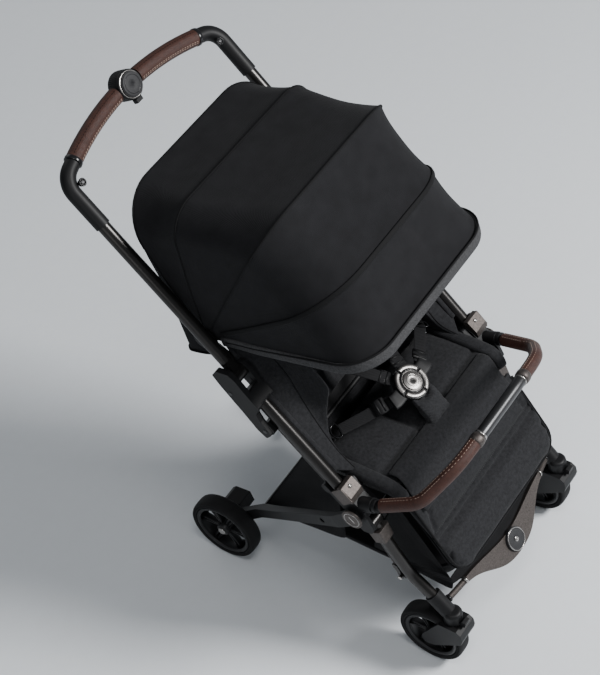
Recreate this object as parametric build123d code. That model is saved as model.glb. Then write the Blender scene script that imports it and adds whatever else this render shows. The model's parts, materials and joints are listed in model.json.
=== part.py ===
from build123d import *
import os
from math import cos, hypot, radians, sin, sqrt, tan

# Compact travel stroller, standing open on the floor. Millimetres, +Z up.
# The front faces -Y and +X is the left side as a pusher stands behind it.
# The origin is on the floor, at the middle of the overall length and width;
# the solids are drawn from a zero MID_Y behind it and moved when recorded.
# Left-hand solids are modelled at positive x and mirrored to the right.

# ---- driving dimensions ------------------------------------------------
MID_Y = 6.09                # the design's zero of y lies this far behind mid-length
TUBE_X = 235.0              # seat and handle tubes, distance from the mid-plane
TUBE_R = 12.5
TUBE_WALL = 1.6
LINE_FOOT = (-158.0, 457.0)  # (y, z) where the seat tube leaves the mid joint
LINE_ANGLE = 47.1           # slope of the seat and handle tubes, degrees

FOLD_S = 293.0              # handle fold pivot, measured along the tube line
KNUCKLE_R = 14.0
HANDLE_START = 34.0         # handle tube starts this far above the fold pivot
HANDLE_BEND_S = 661.0       # where the handle corner pieces begin
GRIP_HALF = 192.0           # half length of the leather grip
GRIP_S = 779.0              # leather ends, along the tube line
GRIP_BOW_R = 629.0          # bow of the grip seen along its own plane
GRIP_R = 16.5
HUB_R = 29.0                # round fold hub in the middle of the grip
HUB_LEN = 34.0
HUB_TILT = 30.0             # hub face looks this far above the horizontal

CANOPY_PIVOT = (120.0, 710.0)
CANOPY_HALF = 218.0         # outer half width of the fabric
FABRIC = 1.5
FABRIC_GAP = 2.0            # fabric stands this far off the bows
BOW_T = 3.0                 # bow strip thickness, outward
BOW_W = 6.0                 # bow strip width, along the fabric
# angle from straight ahead, height of fabric above the pivot, corner radius
CANOPY_STATIONS = ((118.0, 313.0, 95.0), (95.4, 296.0, 62.0), (62.9, 371.0, 92.0),
                   (36.6, 362.0, 120.0), (14.6, 379.0, 80.0))

REAR_HUB = (-195.9, 408.9)  # rear leg pivot (y, z)
REAR_AXLE = (185.5, 77.8)
REAR_CROSS_U = 385.0        # cross tube's place down the rear leg
REAR_WHEEL_X = 204.6
REAR_WHEEL_R = 77.8
FRONT_PIVOT = (-220.0, 382.0)
FRONT_KNEE = (-284.0, 246.0)
FRONT_FOOT = (-348.0, 178.0)
FRONT_TOP_X = 228.0
FRONT_R = 12.0
CASTER = (213.3, -371.8)    # swivel axis (x, y)
TRAIL = 47.0
FRONT_WHEEL_R = 71.4
WHEEL_W = 36.0
TYRE_T = 13.0
HUB_WALL_R = 14.0           # outside of the wheel hubs
AXLE_R = 4.0
RUN = 0.05                  # radial clearance of running fits

BACK_PIVOT = (-40.0, 448.0)
BACK_ANGLE = 59.2           # backrest slope at rest, degrees from the floor
BACK_LEN = 556.0
LEG_PIVOT = (-262.0, 430.0)
LEG_TOP = (-268.0, 440.0)   # outer face of the calf rest, top
LEG_FOOT = (-385.0, 264.0)  # outer face of the calf rest, bottom

BUCKLE = (-175.0, 522.0)
BUCKLE_TILT = 30.0          # buckle face leans forward from straight up


# ---- helpers -----------------------------------------------------------
def on_line(s, n=0.0):
    """(y, z) at distance s up the tube line and n out of its upper side."""
    c, d = cos(radians(LINE_ANGLE)), sin(radians(LINE_ANGLE))
    return (LINE_FOOT[0] + s * c - n * d, LINE_FOOT[1] + s * d + n * c)


def back_point(u, m=0.0):
    """(y, z) at distance u up the backrest and m in front of its board."""
    c, d = cos(radians(BACK_ANGLE)), sin(radians(BACK_ANGLE))
    return (BACK_PIVOT[0] + u * c - m * d, BACK_PIVOT[1] + u * d + m * c)


def rod(start, end, radius, bore=0.0):
    """Round bar or tube from one point to another."""
    a, b = Vector(*start), Vector(*end)
    plane = Plane(origin=a, z_dir=b - a)
    body = Solid.make_cylinder(radius, (b - a).length, plane)
    if bore:
        body = body - Solid.make_cylinder(bore, (b - a).length, plane)
    return body


def cross_rod(yz, x_low, x_high, radius, bore=0.0):
    """Round bar along x at the side-view point yz."""
    return rod((x_low, *yz), (x_high, *yz), radius, bore)


def rounded(points, corners):
    """Closed face through the points, each corner an arc that fits its sides."""
    pts = [Vector(*p) for p in points]
    sizes = corners if isinstance(corners, (list, tuple)) else [corners] * len(pts)
    edges, ends = [], []
    for i, here in enumerate(pts):
        back, ahead = pts[i - 1] - here, pts[(i + 1) % len(pts)] - here
        half_turn = radians((180.0 - back.get_angle(ahead)) / 2)
        reach = min(sizes[i] * tan(half_turn), 0.48 * min(back.length, ahead.length))
        if reach < 0.05:
            ends.append((here, here))
            continue
        size = reach / tan(half_turn)
        inward = (back.normalized() + ahead.normalized()).normalized()
        middle = here + inward * (size / cos(half_turn) - size)
        start, stop = here + back.normalized() * reach, here + ahead.normalized() * reach
        edges.append(ThreePointArc(start, middle, stop))
        ends.append((start, stop))
    for i, (_, stop) in enumerate(ends):
        edges.append(Line(stop, ends[(i + 1) % len(ends)][0]))
    return make_face(edges)


def slab(points, x_low, x_high, corner=0.0):
    """Side-view outline (y, z) pushed along x, with rounded corners."""
    face = rounded(points, corner)
    return extrude(Plane.YZ.offset(x_low) * face, x_high - x_low, dir=(1, 0, 0))


def line_slab(points, x_low, x_high, corner=0.0):
    """A slab whose outline is given along the tube line as (s, n)."""
    return slab([on_line(s, n) for s, n in points], x_low, x_high, corner)


def pipe(points, radii, radius):
    """Round bar swept along straight runs joined by arcs."""
    path = FilletPolyline(*points, radius=radii)
    return sweep(Plane(path @ 0, z_dir=path % 0) * Circle(radius), path=path)


def blend_point(a, b, t):
    """Point part of the way from a to b."""
    return tuple(p + t * (q - p) for p, q in zip(a, b))


def both(solid):
    """The left solid and its mirror image."""
    return [solid, mirror(solid, about=Plane.YZ)]


def both_fused(solid):
    """The left and right solids as one cutter."""
    left, right = both(solid)
    return left + right


def solids_of(shape):
    """Flat list of the solids in a shape or list of shapes."""
    items = shape if isinstance(shape, (list, tuple)) else [shape]
    return [s for item in items for s in item.solids()]


nodes = {}


def add(name, shape):
    """Record one node, moved to the mid-length origin."""
    found = [Pos(0, -MID_Y, 0) * s for s in solids_of(shape)]
    nodes[name] = found[0] if len(found) == 1 else Compound(children=found)


def add_pair(name, left):
    """Record a left node of one or more solids and its mirrored right twin."""
    left = solids_of(left)
    add(name + "_left", left)
    add(name + "_right", [mirror(solid, about=Plane.YZ) for solid in left])


# ---- seat frame --------------------------------------------------------
def seat_tube():
    """Straight tube from the mid joint to the fold joint."""
    start, end = on_line(-30.0), on_line(255.0)
    return rod((TUBE_X, *start), (TUBE_X, *end), TUBE_R, TUBE_R - TUBE_WALL)


def fold_pin_centre():
    return on_line(FOLD_S)


FOLD_ROD_N = -19.5
FOLD_ROD_R = 5.0


def fold_rod():
    """Thin rod behind the seat tube that carries the fold to the legs."""
    start, end = on_line(4.0, FOLD_ROD_N), on_line(176.0, FOLD_ROD_N)
    return rod((TUBE_X, *start), (TUBE_X, *end), FOLD_ROD_R)


def fold_rod_path():
    """Bore that the fold rod slides in, at both ends."""
    start, end = on_line(-12.0, FOLD_ROD_N), on_line(182.0, FOLD_ROD_N)
    return rod((TUBE_X, *start), (TUBE_X, *end), FOLD_ROD_R + 0.4)


def fold_housing():
    """Clamp on the seat tube with two cheeks for the fold pin and canopy mount."""
    collar = line_slab([(222, -15), (260, -15), (260, 15), (222, 15)], 212, 262, 6)
    outer = [(160, -34), (182, -38), (230, -34), (296, -30), (322, -26), (326, -8),
             (310, 14), (292, 18), (262, 15), (222, 15), (214, -6), (196, -12), (162, -16)]
    outer_cheek = line_slab(outer, 250.0, 262.0, 4)
    inner = [(222, -15), (290, -18), (352, -44), (372, -48), (386, -42), (388, -28),
             (376, -20), (318, -2), (306, 14), (290, 18), (260, 15), (222, 15)]
    inner_cheek = line_slab(inner, 212.0, 222.0, 4)
    hook = line_slab([(160, -34), (184, -34), (184, -14), (160, -14)], 227, 255, 3)
    pin = cross_rod(fold_pin_centre(), 205.0, 262.0, 5.0)
    canopy_pin = cross_rod(CANOPY_PIVOT, 190.0, 214.0, AXLE_R)
    body = collar + outer_cheek + inner_cheek + hook + pin + canopy_pin
    return body - seat_tube() - rod((TUBE_X, *on_line(-30)), (TUBE_X, *on_line(255)), 10.0) \
        - fold_rod_path()


SOCKET_DIR = Vector(0, -0.92, 0.392)
BUMPER_EXIT = (235.0, -240.0, 447.7)


def bumper_point(back):
    """Point on the straight spigot, back behind its exit."""
    return tuple(Vector(*BUMPER_EXIT) - SOCKET_DIR * back)


def mid_housing():
    """Moulded joint that holds the seat tube, both legs and the bumper bar."""
    core = line_slab([(-74, -20), (4, -20), (4, -26), (22, -26), (22, -13), (2, -13),
                      (2, 14), (-20, 20), (-62, 24), (-78, 12)], 214, 250, 3)
    inner = [(-112, -6), (-100, -22), (-60, -20), (0, -18), (0, 12), (-60, 22), (-84, 16),
             (-106, 8)]
    cheeks = line_slab(inner, 204.0, 213.5, 6) + line_slab(inner, 242.5, 250.0, 6)
    socket = rod(bumper_point(44), bumper_point(8), 15.0)
    pin = cross_rod(FRONT_PIVOT, 204.0, 250.0, 5.0)
    hub_pin = cross_rod(REAR_HUB, 240.0, 259.6, 7.0)
    spigot_bore = rod(bumper_point(60), bumper_point(0), 8.0 + RUN)
    body = core + cheeks + socket + pin + hub_pin
    return body - rod((TUBE_X, *on_line(-30)), (TUBE_X, *on_line(255)), TUBE_R) \
        - spigot_bore - fold_rod_path()


def upper_block():
    """Satin metal block capping the mid joint at the seat tube's foot."""
    outline = [(-32, 15), (2, 14.5), (10, 15), (6, 27), (-22, 29), (-34, 24)]
    cap = line_slab(outline, 217, 253, 3)
    wrap = line_slab([(-30, -4), (6, -4), (6, 27), (-30, 27)], 250.2, 255, 3)
    return cap + wrap - rod((TUBE_X, *on_line(-30)), (TUBE_X, *on_line(255)), TUBE_R + 0.2)


def hub_cap():
    """Round cap over the rear leg pivot."""
    disc = cross_rod(REAR_HUB, 259.6, 263.0, 22.0)
    return fillet(disc.edges().filter_by(GeomType.CIRCLE).sort_by(Axis.X)[-1], 1.2)


def seat_pan():
    """Moulded seat board with two stiff cross bars into the mid joints."""
    board = Pos(0, -154, 425) * Box(376, 206, 8)
    board = fillet(board.edges().filter_by(Axis.Z), 24)
    front = cross_rod((-232.0, 415.0), -204.0, 204.0, 8.0)
    rear = cross_rod((-165.0, 415.0), -204.0, 204.0, 8.0)
    return board + front + rear


def seat_pad():
    """Seat cushion."""
    pad = Pos(0, -166, 446) * Box(372, 176, 33)
    pad = fillet(pad.edges().filter_by(Axis.Z), 28)
    return fillet(pad.edges().group_by(Axis.Z)[-1], 9)


def buckle_plane(lift=0.0):
    """Plane through the buckle's middle, normal out of its face."""
    t = radians(BUCKLE_TILT)
    normal = Vector(0, -sin(t), cos(t))
    return Plane(origin=Vector(0, *BUCKLE) + normal * lift, x_dir=(1, 0, 0), z_dir=normal)


def buckle_body():
    """Round magnetic buckle with a recess for its button."""
    body = Solid.make_cylinder(36.0, 13.0, buckle_plane(-6.0))
    recess = Solid.make_cylinder(21.3, 5.4, buckle_plane(1.8))
    return body - recess


def buckle_button():
    """Press button in the middle of the buckle."""
    return Solid.make_cylinder(21.0, 5.0, buckle_plane(5.0))


def crotch_pad():
    """Padded strap from the seat up to the buckle."""
    outline = [(-250, 463), (-226, 463), (-190, 508), (-196, 514), (-216, 500)]
    return slab(outline, -32, 32, 2)


def hip_strap():
    """Webbing from the side of the seat to the buckle, left side."""
    return ribbon((152, -104, 505), (38, -168, 520), 24.0, 2.2)


def ribbon(start, end, width, thick):
    """Flat strap between two points, lying as level as it can."""
    a, b = Vector(*start), Vector(*end)
    run = b - a
    side = run.cross(Vector(0, 0, 1)).normalized()
    plane = Plane(origin=a, x_dir=side, z_dir=run)
    return extrude(plane * Rectangle(width, thick), run.length)


def shoulder_strap():
    """Padded shoulder strap down the backrest and across to the buckle, left side."""
    top = slab([back_point(70, 27.2), back_point(400, 27.2), back_point(400, 31.2),
                back_point(70, 31.2)], 44, 72)
    low = ribbon((54, *back_point(66, 29.0)), (26, -146, 537), 26.0, 3.0)
    return [top, low]


# ---- handle ------------------------------------------------------------
def handle_point(x, s, n=0.0):
    return (x, *on_line(s, n))


def handle_tube():
    """Upper tube with the solid knuckle that turns on the fold pin."""
    low, high = FOLD_S + HANDLE_START, HANDLE_BEND_S + 6.0
    tube = rod(handle_point(TUBE_X, low), handle_point(TUBE_X, high), TUBE_R,
               TUBE_R - TUBE_WALL)
    knuckle = cross_rod(fold_pin_centre(), 222.4, 249.6, KNUCKLE_R)
    neck = line_slab([(FOLD_S, -9.5), (low + 14, -9.5), (low + 14, 9.5), (FOLD_S, 9.5)],
                     TUBE_X - 9, TUBE_X + 9)
    plug = rod(handle_point(TUBE_X, low - 1), handle_point(TUBE_X, low + 24), TUBE_R)
    bore = cross_rod(fold_pin_centre(), 200, 270, 5.0 + RUN)
    return tube + knuckle + neck + plug - bore


def handle_corner():
    """Plastic elbow from the tube to the leather, with a press stud."""
    end = Vector(GRIP_HALF, GRIP_S)
    slope = GRIP_HALF / GRIP_BOW_R
    rise = 1 / sqrt(1 - slope * slope)
    knee_s = GRIP_S - (TUBE_X - GRIP_HALF) * slope * rise
    points = [handle_point(TUBE_X, HANDLE_BEND_S), handle_point(TUBE_X, knee_s),
              handle_point(end.X, end.Y)]
    elbow = pipe(points, 40.0, 15.0)
    stud = rod(handle_point(216, 744, 10), handle_point(216, 744, 17.5), 6.5)
    return elbow + stud - rod(handle_point(TUBE_X, 600), handle_point(TUBE_X, HANDLE_BEND_S + 6),
                              TUBE_R)


def grip_s(x):
    """Height of the bowed grip along the tube line at x."""
    top = GRIP_S + GRIP_BOW_R - sqrt(GRIP_BOW_R ** 2 - GRIP_HALF ** 2)
    return top - GRIP_BOW_R + sqrt(GRIP_BOW_R ** 2 - x * x)


def grip_cover():
    """Leather sleeve from the elbow to the hub, left side."""
    inner = 30.5
    middle = (GRIP_HALF + inner) / 2
    path = ThreePointArc(*(handle_point(x, grip_s(x)) for x in (GRIP_HALF, middle, inner)))
    return sweep(Plane(path @ 0, z_dir=path % 0) * Circle(GRIP_R), path=path)


def hub_plane(lift=0.0):
    """Plane through the hub's middle, normal out of its face."""
    t = radians(HUB_TILT)
    normal = Vector(0, -cos(t), sin(t))
    centre = Vector(*handle_point(0, grip_s(0)))
    return Plane(origin=centre + normal * lift, x_dir=(1, 0, 0), z_dir=normal)


def fold_hub():
    """Round housing for the one-hand fold button."""
    body = Solid.make_cylinder(HUB_R, HUB_LEN, hub_plane(-HUB_LEN / 2))
    rim = body.edges().filter_by(GeomType.CIRCLE)
    body = fillet(rim, 3.0)
    arms = rod(handle_point(-30.3, grip_s(30.3)), handle_point(30.3, grip_s(30.3)), 14.0)
    recess = Solid.make_cylinder(24.3, 7.0, hub_plane(HUB_LEN / 2 - 6.0))
    return body + arms - recess


def fold_button():
    """Press button in the face of the hub."""
    return Solid.make_cylinder(24.0, 5.5, hub_plane(HUB_LEN / 2 - 1.5 - 0.5))


def lock_tab():
    """Small slide on the hub's lower rim that frees the fold button."""
    plane = hub_plane(8.0)
    down = plane.y_dir * -1
    seat = Plane(origin=plane.origin + down * (HUB_R + 4.3), x_dir=(1, 0, 0), z_dir=down)
    tab = extrude(seat * RectangleRounded(18, 12, 3), 3.8, both=True)
    return tab


# ---- canopy ------------------------------------------------------------
def canopy_outline(height, radius, inset, half_base):
    """Half-open arch outline: base corner, shoulder, rounded top, mirrored."""
    w, h = CANOPY_HALF - inset, height - inset
    left = [(half_base, 0.0), (half_base, 66.0), (w, 128.0), (w, h)]
    right = [(-x, y) for x, y in reversed(left)]
    return left + right, radius - inset


def station_plane(angle):
    """Plane of one bow: x across, y out from the pivot line."""
    a = radians(angle)
    out = Vector(0, -cos(a), sin(a))
    return Plane(origin=(0, *CANOPY_PIVOT), x_dir=(1, 0, 0), z_dir=Vector(1, 0, 0).cross(out))


def arch_face(height, radius, inset, half_base):
    """Closed face under one arch."""
    points, corner = canopy_outline(height, radius, inset, half_base)
    return rounded(points, [0, 30, 30, corner, corner, 30, 30, 0])


def bow(angle, height, radius, half_base):
    """Flat strip bow with an eye at each end on the canopy pivot."""
    inset = FABRIC + FABRIC_GAP
    face = arch_face(height, radius, inset, half_base) \
        - arch_face(height, radius, inset + BOW_T, half_base - BOW_T)
    strip = extrude(station_plane(angle) * face, BOW_W / 2, both=True)
    body = strip
    for side in (1, -1):
        low, high = sorted((side * half_base, side * (half_base - BOW_T)))
        body = body + cross_rod(CANOPY_PIVOT, low, high, 9.0)
    return body - cross_rod(CANOPY_PIVOT, -230, 230, AXLE_R + RUN)


def canopy_panel(near, far):
    """Fabric between two bows, as a thin arched shell."""
    def shell(inset, base_gap):
        faces = []
        for (angle, height, radius), step in ((near, -0.12), (far, 0.12)):
            points, corner = canopy_outline(height, radius, inset, 215.0 - inset)
            lifted = [(x, max(y, 24.0 - base_gap)) for x, y in points]
            face = rounded(lifted, [0, 30, 30, corner, corner, 30, 30, 0])
            faces.append(station_plane(angle + step) * face)
        return loft(Sketch() + faces, ruled=True)
    return shell(0.0, 0.0) - shell(FABRIC, 6.0)


# ---- rear legs ---------------------------------------------------------
def beam_plane():
    """Plane that holds the rear leg: x down the leg, y across the stroller."""
    run = Vector(0, REAR_AXLE[0] - REAR_HUB[0], REAR_AXLE[1] - REAR_HUB[1]).normalized()
    return Plane(origin=(0, *REAR_HUB), x_dir=run, z_dir=run.cross(Vector(1, 0, 0)))


REAR_LEG_LEN = hypot(REAR_AXLE[0] - REAR_HUB[0], REAR_AXLE[1] - REAR_HUB[1])


def rear_leg():
    """Flat moulded beam from the mid joint to the rear wheel."""
    plan = [(-20, 250.4), (44, 250.4), (382, 171), (REAR_LEG_LEN, 168), (REAR_LEG_LEN, 184.5),
            (402, 184.5), (56, 259.4), (-20, 259.4)]
    beam = extrude(beam_plane() * rounded(plan, 60), 17.0, both=True)
    run = (REAR_AXLE[0] - REAR_HUB[0]) / REAR_LEG_LEN, (REAR_AXLE[1] - REAR_HUB[1]) / REAR_LEG_LEN

    def at(u, v):
        return (REAR_HUB[0] + u * run[0] - v * run[1], REAR_HUB[1] + u * run[1] + v * run[0])

    profile = slab([at(-16, -8), at(0, -17), at(60, -15), at(300, -12), at(470, -12),
                    at(REAR_LEG_LEN, -10), at(REAR_LEG_LEN, 10), at(470, 12), at(300, 12),
                    at(60, 15), at(0, 17), at(-16, 8)], 150, 280, 4)
    boss = cross_rod(REAR_AXLE, 164.0, 184.8, 23.0)
    boss = fillet(boss.edges().filter_by(GeomType.CIRCLE), 2.0)
    recess = cross_rod(at(112, 0), 238.0, 262.0, 6.0)
    return (beam & profile) + boss - recess - cross_rod(REAR_AXLE, 150, 200, AXLE_R) \
        - cross_rod(REAR_HUB, 230, 280, 7.0 + RUN)


def rear_axle():
    """Cross tube between the rear legs, and a stub shaft for each wheel."""
    along = REAR_CROSS_U / REAR_LEG_LEN
    tube = cross_rod(blend_point(REAR_HUB, REAR_AXLE, along), -170.8, 170.8, 9.0)
    stubs = []
    for side in (1, -1):
        shaft_ends = sorted((side * 124.0, side * 224.0))
        sleeve_ends = sorted((side * 126.0, side * 164.0))
        stubs.append(cross_rod(REAR_AXLE, *shaft_ends, AXLE_R)
                     + cross_rod(REAR_AXLE, *sleeve_ends, 9.0))
    return [tube] + stubs


def brake_pedal():
    """Foot pedal that clips round the right rear wheel's stub sleeve."""
    y, z = REAR_AXLE
    sleeve = cross_rod(REAR_AXLE, -160.0, -128.0, 13.0)
    pad = slab([(y - 20, z + 8), (y - 12, z + 34), (y + 24, z + 30), (y + 34, z + 20),
                (y + 30, z + 14), (y + 8, z + 14), (y + 4, z + 6)], -166.0, -126.0, 2)
    clear = cross_rod(REAR_AXLE, -163.7, -100.0, 9.0 + RUN)
    boss_clear = cross_rod(REAR_AXLE, -190.0, -163.5, 24.0)
    return sleeve + pad - clear - boss_clear


# ---- wheels ------------------------------------------------------------
def tyre(x, yz, radius):
    """Foam tyre with rounded shoulders."""
    ring = cross_rod(yz, x - WHEEL_W / 2, x + WHEEL_W / 2, radius)
    ring = fillet(ring.edges().filter_by(GeomType.CIRCLE), 9.0)
    return ring - cross_rod(yz, x - WHEEL_W, x + WHEEL_W, radius - TYRE_T)


def rim(x, yz, radius):
    """Moulded rim: ring, six spokes and a hub bored for the axle."""
    inner = radius - TYRE_T - 6.0
    ring = cross_rod(yz, x - 14, x + 14, radius - TYRE_T, inner)
    hub = cross_rod(yz, x - 16, x + 16, HUB_WALL_R, AXLE_R + RUN)
    between = cross_rod(yz, x - 20, x + 20, inner, HUB_WALL_R)
    solids = [ring, hub]
    for i in range(6):
        a = radians(60.0 * i)
        corner = (x - 9, yz[0] - 4 * sin(a), yz[1] + 4 * cos(a))
        plane = Plane(origin=corner, x_dir=(1, 0, 0), z_dir=(0, cos(a), sin(a)))
        solids.append(Solid.make_box(18.0, 8.0, radius, plane) & between)
    return solids


# ---- front legs --------------------------------------------------------
def front_point(yz, t):
    """Point on the front leg; t runs from 0 at the top to 1 at the foot."""
    return (FRONT_TOP_X + t * (CASTER[0] - FRONT_TOP_X), *yz)


def front_leg():
    """Bent tube from the mid joint to the caster, with its pivot knuckle."""
    points = [front_point(FRONT_PIVOT, 0), front_point(FRONT_KNEE, 0.6),
              front_point(FRONT_FOOT, 1)]
    tube = pipe(points, 110.0, FRONT_R)
    knuckle = cross_rod(FRONT_PIVOT, 214.0, 242.0, 13.0)
    lug = slab([(-272, 268), (-262, 244), (-261, 224), (-276, 224), (-290, 250)],
               front_point(FRONT_KNEE, 0.6)[0] - 3.0, front_point(FRONT_KNEE, 0.6)[0] + 3.0, 2)
    rivet = cross_rod(LINK_LOW, 210.0, 230.0, 3.0)
    return tube + knuckle + lug + rivet - cross_rod(FRONT_PIVOT, 200, 260, 5.0 + RUN)


LINK_LOW = (-268.0, 231.0)
LINK_HIGH = (-210.5, 343.0)


def link_rod():
    """Thin link behind the front leg, forked round the rivet lug."""
    x = front_point(FRONT_KNEE, 0.6)[0]
    low = blend_point(LINK_LOW, LINK_HIGH, 0.16)
    bar = rod((x, *low), (x, *LINK_HIGH), 4.5)
    ears = []
    for side in (-1, 1):
        edge = sorted((x + side * 3.4, x + side * 6.6))
        eye = cross_rod(LINK_LOW, edge[0], edge[1], 6.5)
        arm = slab([(LINK_LOW[0] - 4, LINK_LOW[1] + 2), (LINK_LOW[0] + 5, LINK_LOW[1] - 2),
                    (low[0] + 7, low[1] + 5), (low[0] - 1, low[1] + 9)], edge[0], edge[1])
        ears += [eye, arm]
    bridge = slab([(low[0] - 1, low[1] + 2), (low[0] + 6, low[1] - 1),
                   (low[0] + 10, low[1] + 8), (low[0] + 3, low[1] + 11)], x - 6.6, x + 6.6)
    body = bar + bridge
    for piece in ears:
        body = body + piece
    return body - cross_rod(LINK_LOW, 190, 250, 3.0 + RUN)


def leg_collar():
    """Satin metal block round the top of the front leg."""
    run = Vector(0, FRONT_KNEE[0] - FRONT_PIVOT[0], FRONT_KNEE[1] - FRONT_PIVOT[1]).normalized()
    x = FRONT_TOP_X - 2.0
    plane = Plane(origin=Vector(x, *FRONT_PIVOT) + run * 17.5, x_dir=(1, 0, 0), z_dir=run)
    block = extrude(plane * RectangleRounded(34, 32, 5), 30.0, taper=4)
    return block


def knuckle():
    """Caster housing at the foot of the front leg."""
    x, y = CASTER
    post = rod((x, y, 142.0), (x, y, 172.0), 19.0)
    post = fillet(post.edges().filter_by(GeomType.CIRCLE).sort_by(Axis.Z)[-1], 8.0)
    sleeve = rod((x + 0.8, -329.0, 198.2), (x, -362.0, 163.2), 16.5)
    stem_bore = rod((x, y, 140.0), (x, y, 160.5), 6.0 + RUN)
    return post + sleeve - stem_bore


def swivel_tab():
    """Lever that locks the caster straight ahead."""
    x, y = CASTER
    tab = slab([(y - 31, 144), (y - 19.4, 144), (y - 19.4, 152), (y - 24, 158), (y - 33, 156)],
               x - 8, x + 8, 1.5)
    return tab


def fork():
    """Two-arm caster fork with its stem and axle pin."""
    x, y = CASTER
    hub = (y + TRAIL, FRONT_WHEEL_R)
    crown = slab([(y + 20, 141.5), (y + 4, 134), (y - 12, 119), (y - 22, 105), (y - 30, 104),
                  (y - 33, 118), (y - 30, 134), (y - 20, 141.5)], x - 25.5, x + 25.5, 1.5)
    body = crown + rod((x, y, 130.0), (x, y, 159.5), 6.0)
    arm_outline = [(y + 20, 141.5), (y - 20, 141.5), (y - 30, 134), (y - 33, 118), (y - 30, 104),
                   (hub[0] - 16, 62), (hub[0] + 2, 57), (hub[0] + 14, 66), (hub[0] + 13, 80)]
    for low in (x - 25.5, x + 19.5):
        body = body + slab(arm_outline, low, low + 6.0, 2)
        body = body + cross_rod(hub, low, low + 6.0, 14.0)
    return body + cross_rod(hub, x - 25.5, x + 25.5, AXLE_R)


BAR_TILT = 35.0             # crossbar face looks this far above straight ahead


def bar_plane(lift=0.0):
    """Plane of the crossbar's face, with its origin behind the medallion."""
    t = radians(BAR_TILT)
    normal = Vector(0, -cos(t), sin(t))
    return Plane(origin=Vector(0, -390, 161) + normal * lift, x_dir=(1, 0, 0), z_dir=normal)


def crossbar():
    """Bowed footbar between the front legs, deep in the middle."""
    low = [(-147, 31), (-100, 10), (-52, -20), (0, -29), (52, -20), (100, 10), (147, 31)]
    high = [(147, 43), (80, 33), (28, 24), (0, 22), (-28, 24), (-80, 33), (-147, 43)]
    edges = [Spline(*low), Line(low[-1], high[0]), Spline(*high), Line(high[-1], low[0])]
    plate = extrude(bar_plane(-11.0) * make_face(edges), 11.0)
    plane = bar_plane(-5.5)
    body = plate
    for side in (1, -1):
        inner = plane.from_local_coords(Vector(side * 143, 36.5, 0))
        outer = Vector(side * 203, -352.0, 176.0)
        body = body + rod(tuple(inner), tuple(outer), 6.5)
    return body


def medallion():
    """Plain round badge on the middle of the crossbar."""
    plane = bar_plane(0.0)
    disc = Solid.make_cylinder(25.0, 6.0, plane)
    disc = fillet(disc.edges().filter_by(GeomType.CIRCLE).sort_by(Axis.Z)[-1], 1.5)
    return disc


# ---- bumper bar --------------------------------------------------------
BUMPER_RUN = [BUMPER_EXIT, (217.0, -322.0, 486.0), (150.0, -366.0, 546.0), (62.0, -374.0, 561.0)]
BUMPER_R = 8.0
SLEEVE_X = 86.0


def bumper_core():
    """Steel core of the bumper bar with a spigot and a stop collar at each end."""
    left = [bumper_point(40.0)] + BUMPER_RUN
    right = [(-x, y, z) for x, y, z in reversed(left)]
    radii = [18.0, 60.0, 90.0, 160.0, 160.0, 90.0, 60.0, 18.0]
    body = pipe(left + right, radii, BUMPER_R)
    for collar in both(rod(bumper_point(7.4), bumper_point(-1.0), 13.5)):
        body = body + collar
    return body


def bumper_grip():
    """Leather sleeve on the bumper bar, left side."""
    start = blend_point(BUMPER_RUN[0], BUMPER_RUN[1], 0.1)
    t = (BUMPER_RUN[2][0] - SLEEVE_X) / (BUMPER_RUN[2][0] - BUMPER_RUN[3][0])
    end = blend_point(BUMPER_RUN[2], BUMPER_RUN[3], t)
    return pipe([start, BUMPER_RUN[1], BUMPER_RUN[2], end], [60.0, 90.0], 13.5)


def bumper_sleeve():
    """Plain metal tube between the two leather sleeves."""
    t = (BUMPER_RUN[2][0] - SLEEVE_X + 0.4) / (BUMPER_RUN[2][0] - BUMPER_RUN[3][0])
    end = blend_point(BUMPER_RUN[2], BUMPER_RUN[3], t)
    knee = BUMPER_RUN[3]
    points = [end, knee, (-knee[0], *knee[1:]), (-end[0], *end[1:])]
    return pipe(points, [160.0, 160.0], 12.0)


# ---- backrest, calf rest and basket -------------------------------------
def back_board():
    """Stiff board inside the backrest, with its hinge barrel."""
    face = rounded([(-176, 14), (176, 14), (170, 470), (120, BACK_LEN),
                    (-120, BACK_LEN), (-170, 470)], 20)
    t = radians(BACK_ANGLE)
    plane = Plane(origin=(0, *BACK_PIVOT), x_dir=(1, 0, 0), z_dir=(0, -sin(t), cos(t)))
    board = extrude(plane.offset(-6.0) * face, 6.0)
    tongue = slab([back_point(-4, -6), back_point(20, -6), back_point(20, 0), back_point(-4, 0)],
                  -150, 150)
    barrel = cross_rod(BACK_PIVOT, -150.0, 150.0, 6.0)
    return board + tongue + barrel


def back_pad():
    """Padded backrest with raised side bolsters."""
    t = radians(BACK_ANGLE)
    plane = Plane(origin=(0, *BACK_PIVOT), x_dir=(1, 0, 0), z_dir=(0, -sin(t), cos(t)))
    face = rounded([(-172, 32), (172, 32), (166, 470), (118, BACK_LEN - 2),
                    (-118, BACK_LEN - 2), (-166, 470)], 24)
    pad = extrude(plane.offset(0.3) * face, 25.0)
    body = pad
    for side in (1, -1):
        wing = plane.offset(0.3) * Pos(side * 157, 240) * RectangleRounded(28, 330, 10)
        body = body + extrude(wing, 46.0)
    return body


def leg_plane():
    """Plane of the calf rest's outer face: x across, y down the panel."""
    run = Vector(0, LEG_FOOT[0] - LEG_TOP[0], LEG_FOOT[1] - LEG_TOP[1]).normalized()
    return Plane(origin=(0, *LEG_TOP), x_dir=(1, 0, 0), z_dir=Vector(1, 0, 0).cross(run))


LEG_LEN = hypot(LEG_FOOT[0] - LEG_TOP[0], LEG_FOOT[1] - LEG_TOP[1])


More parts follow.
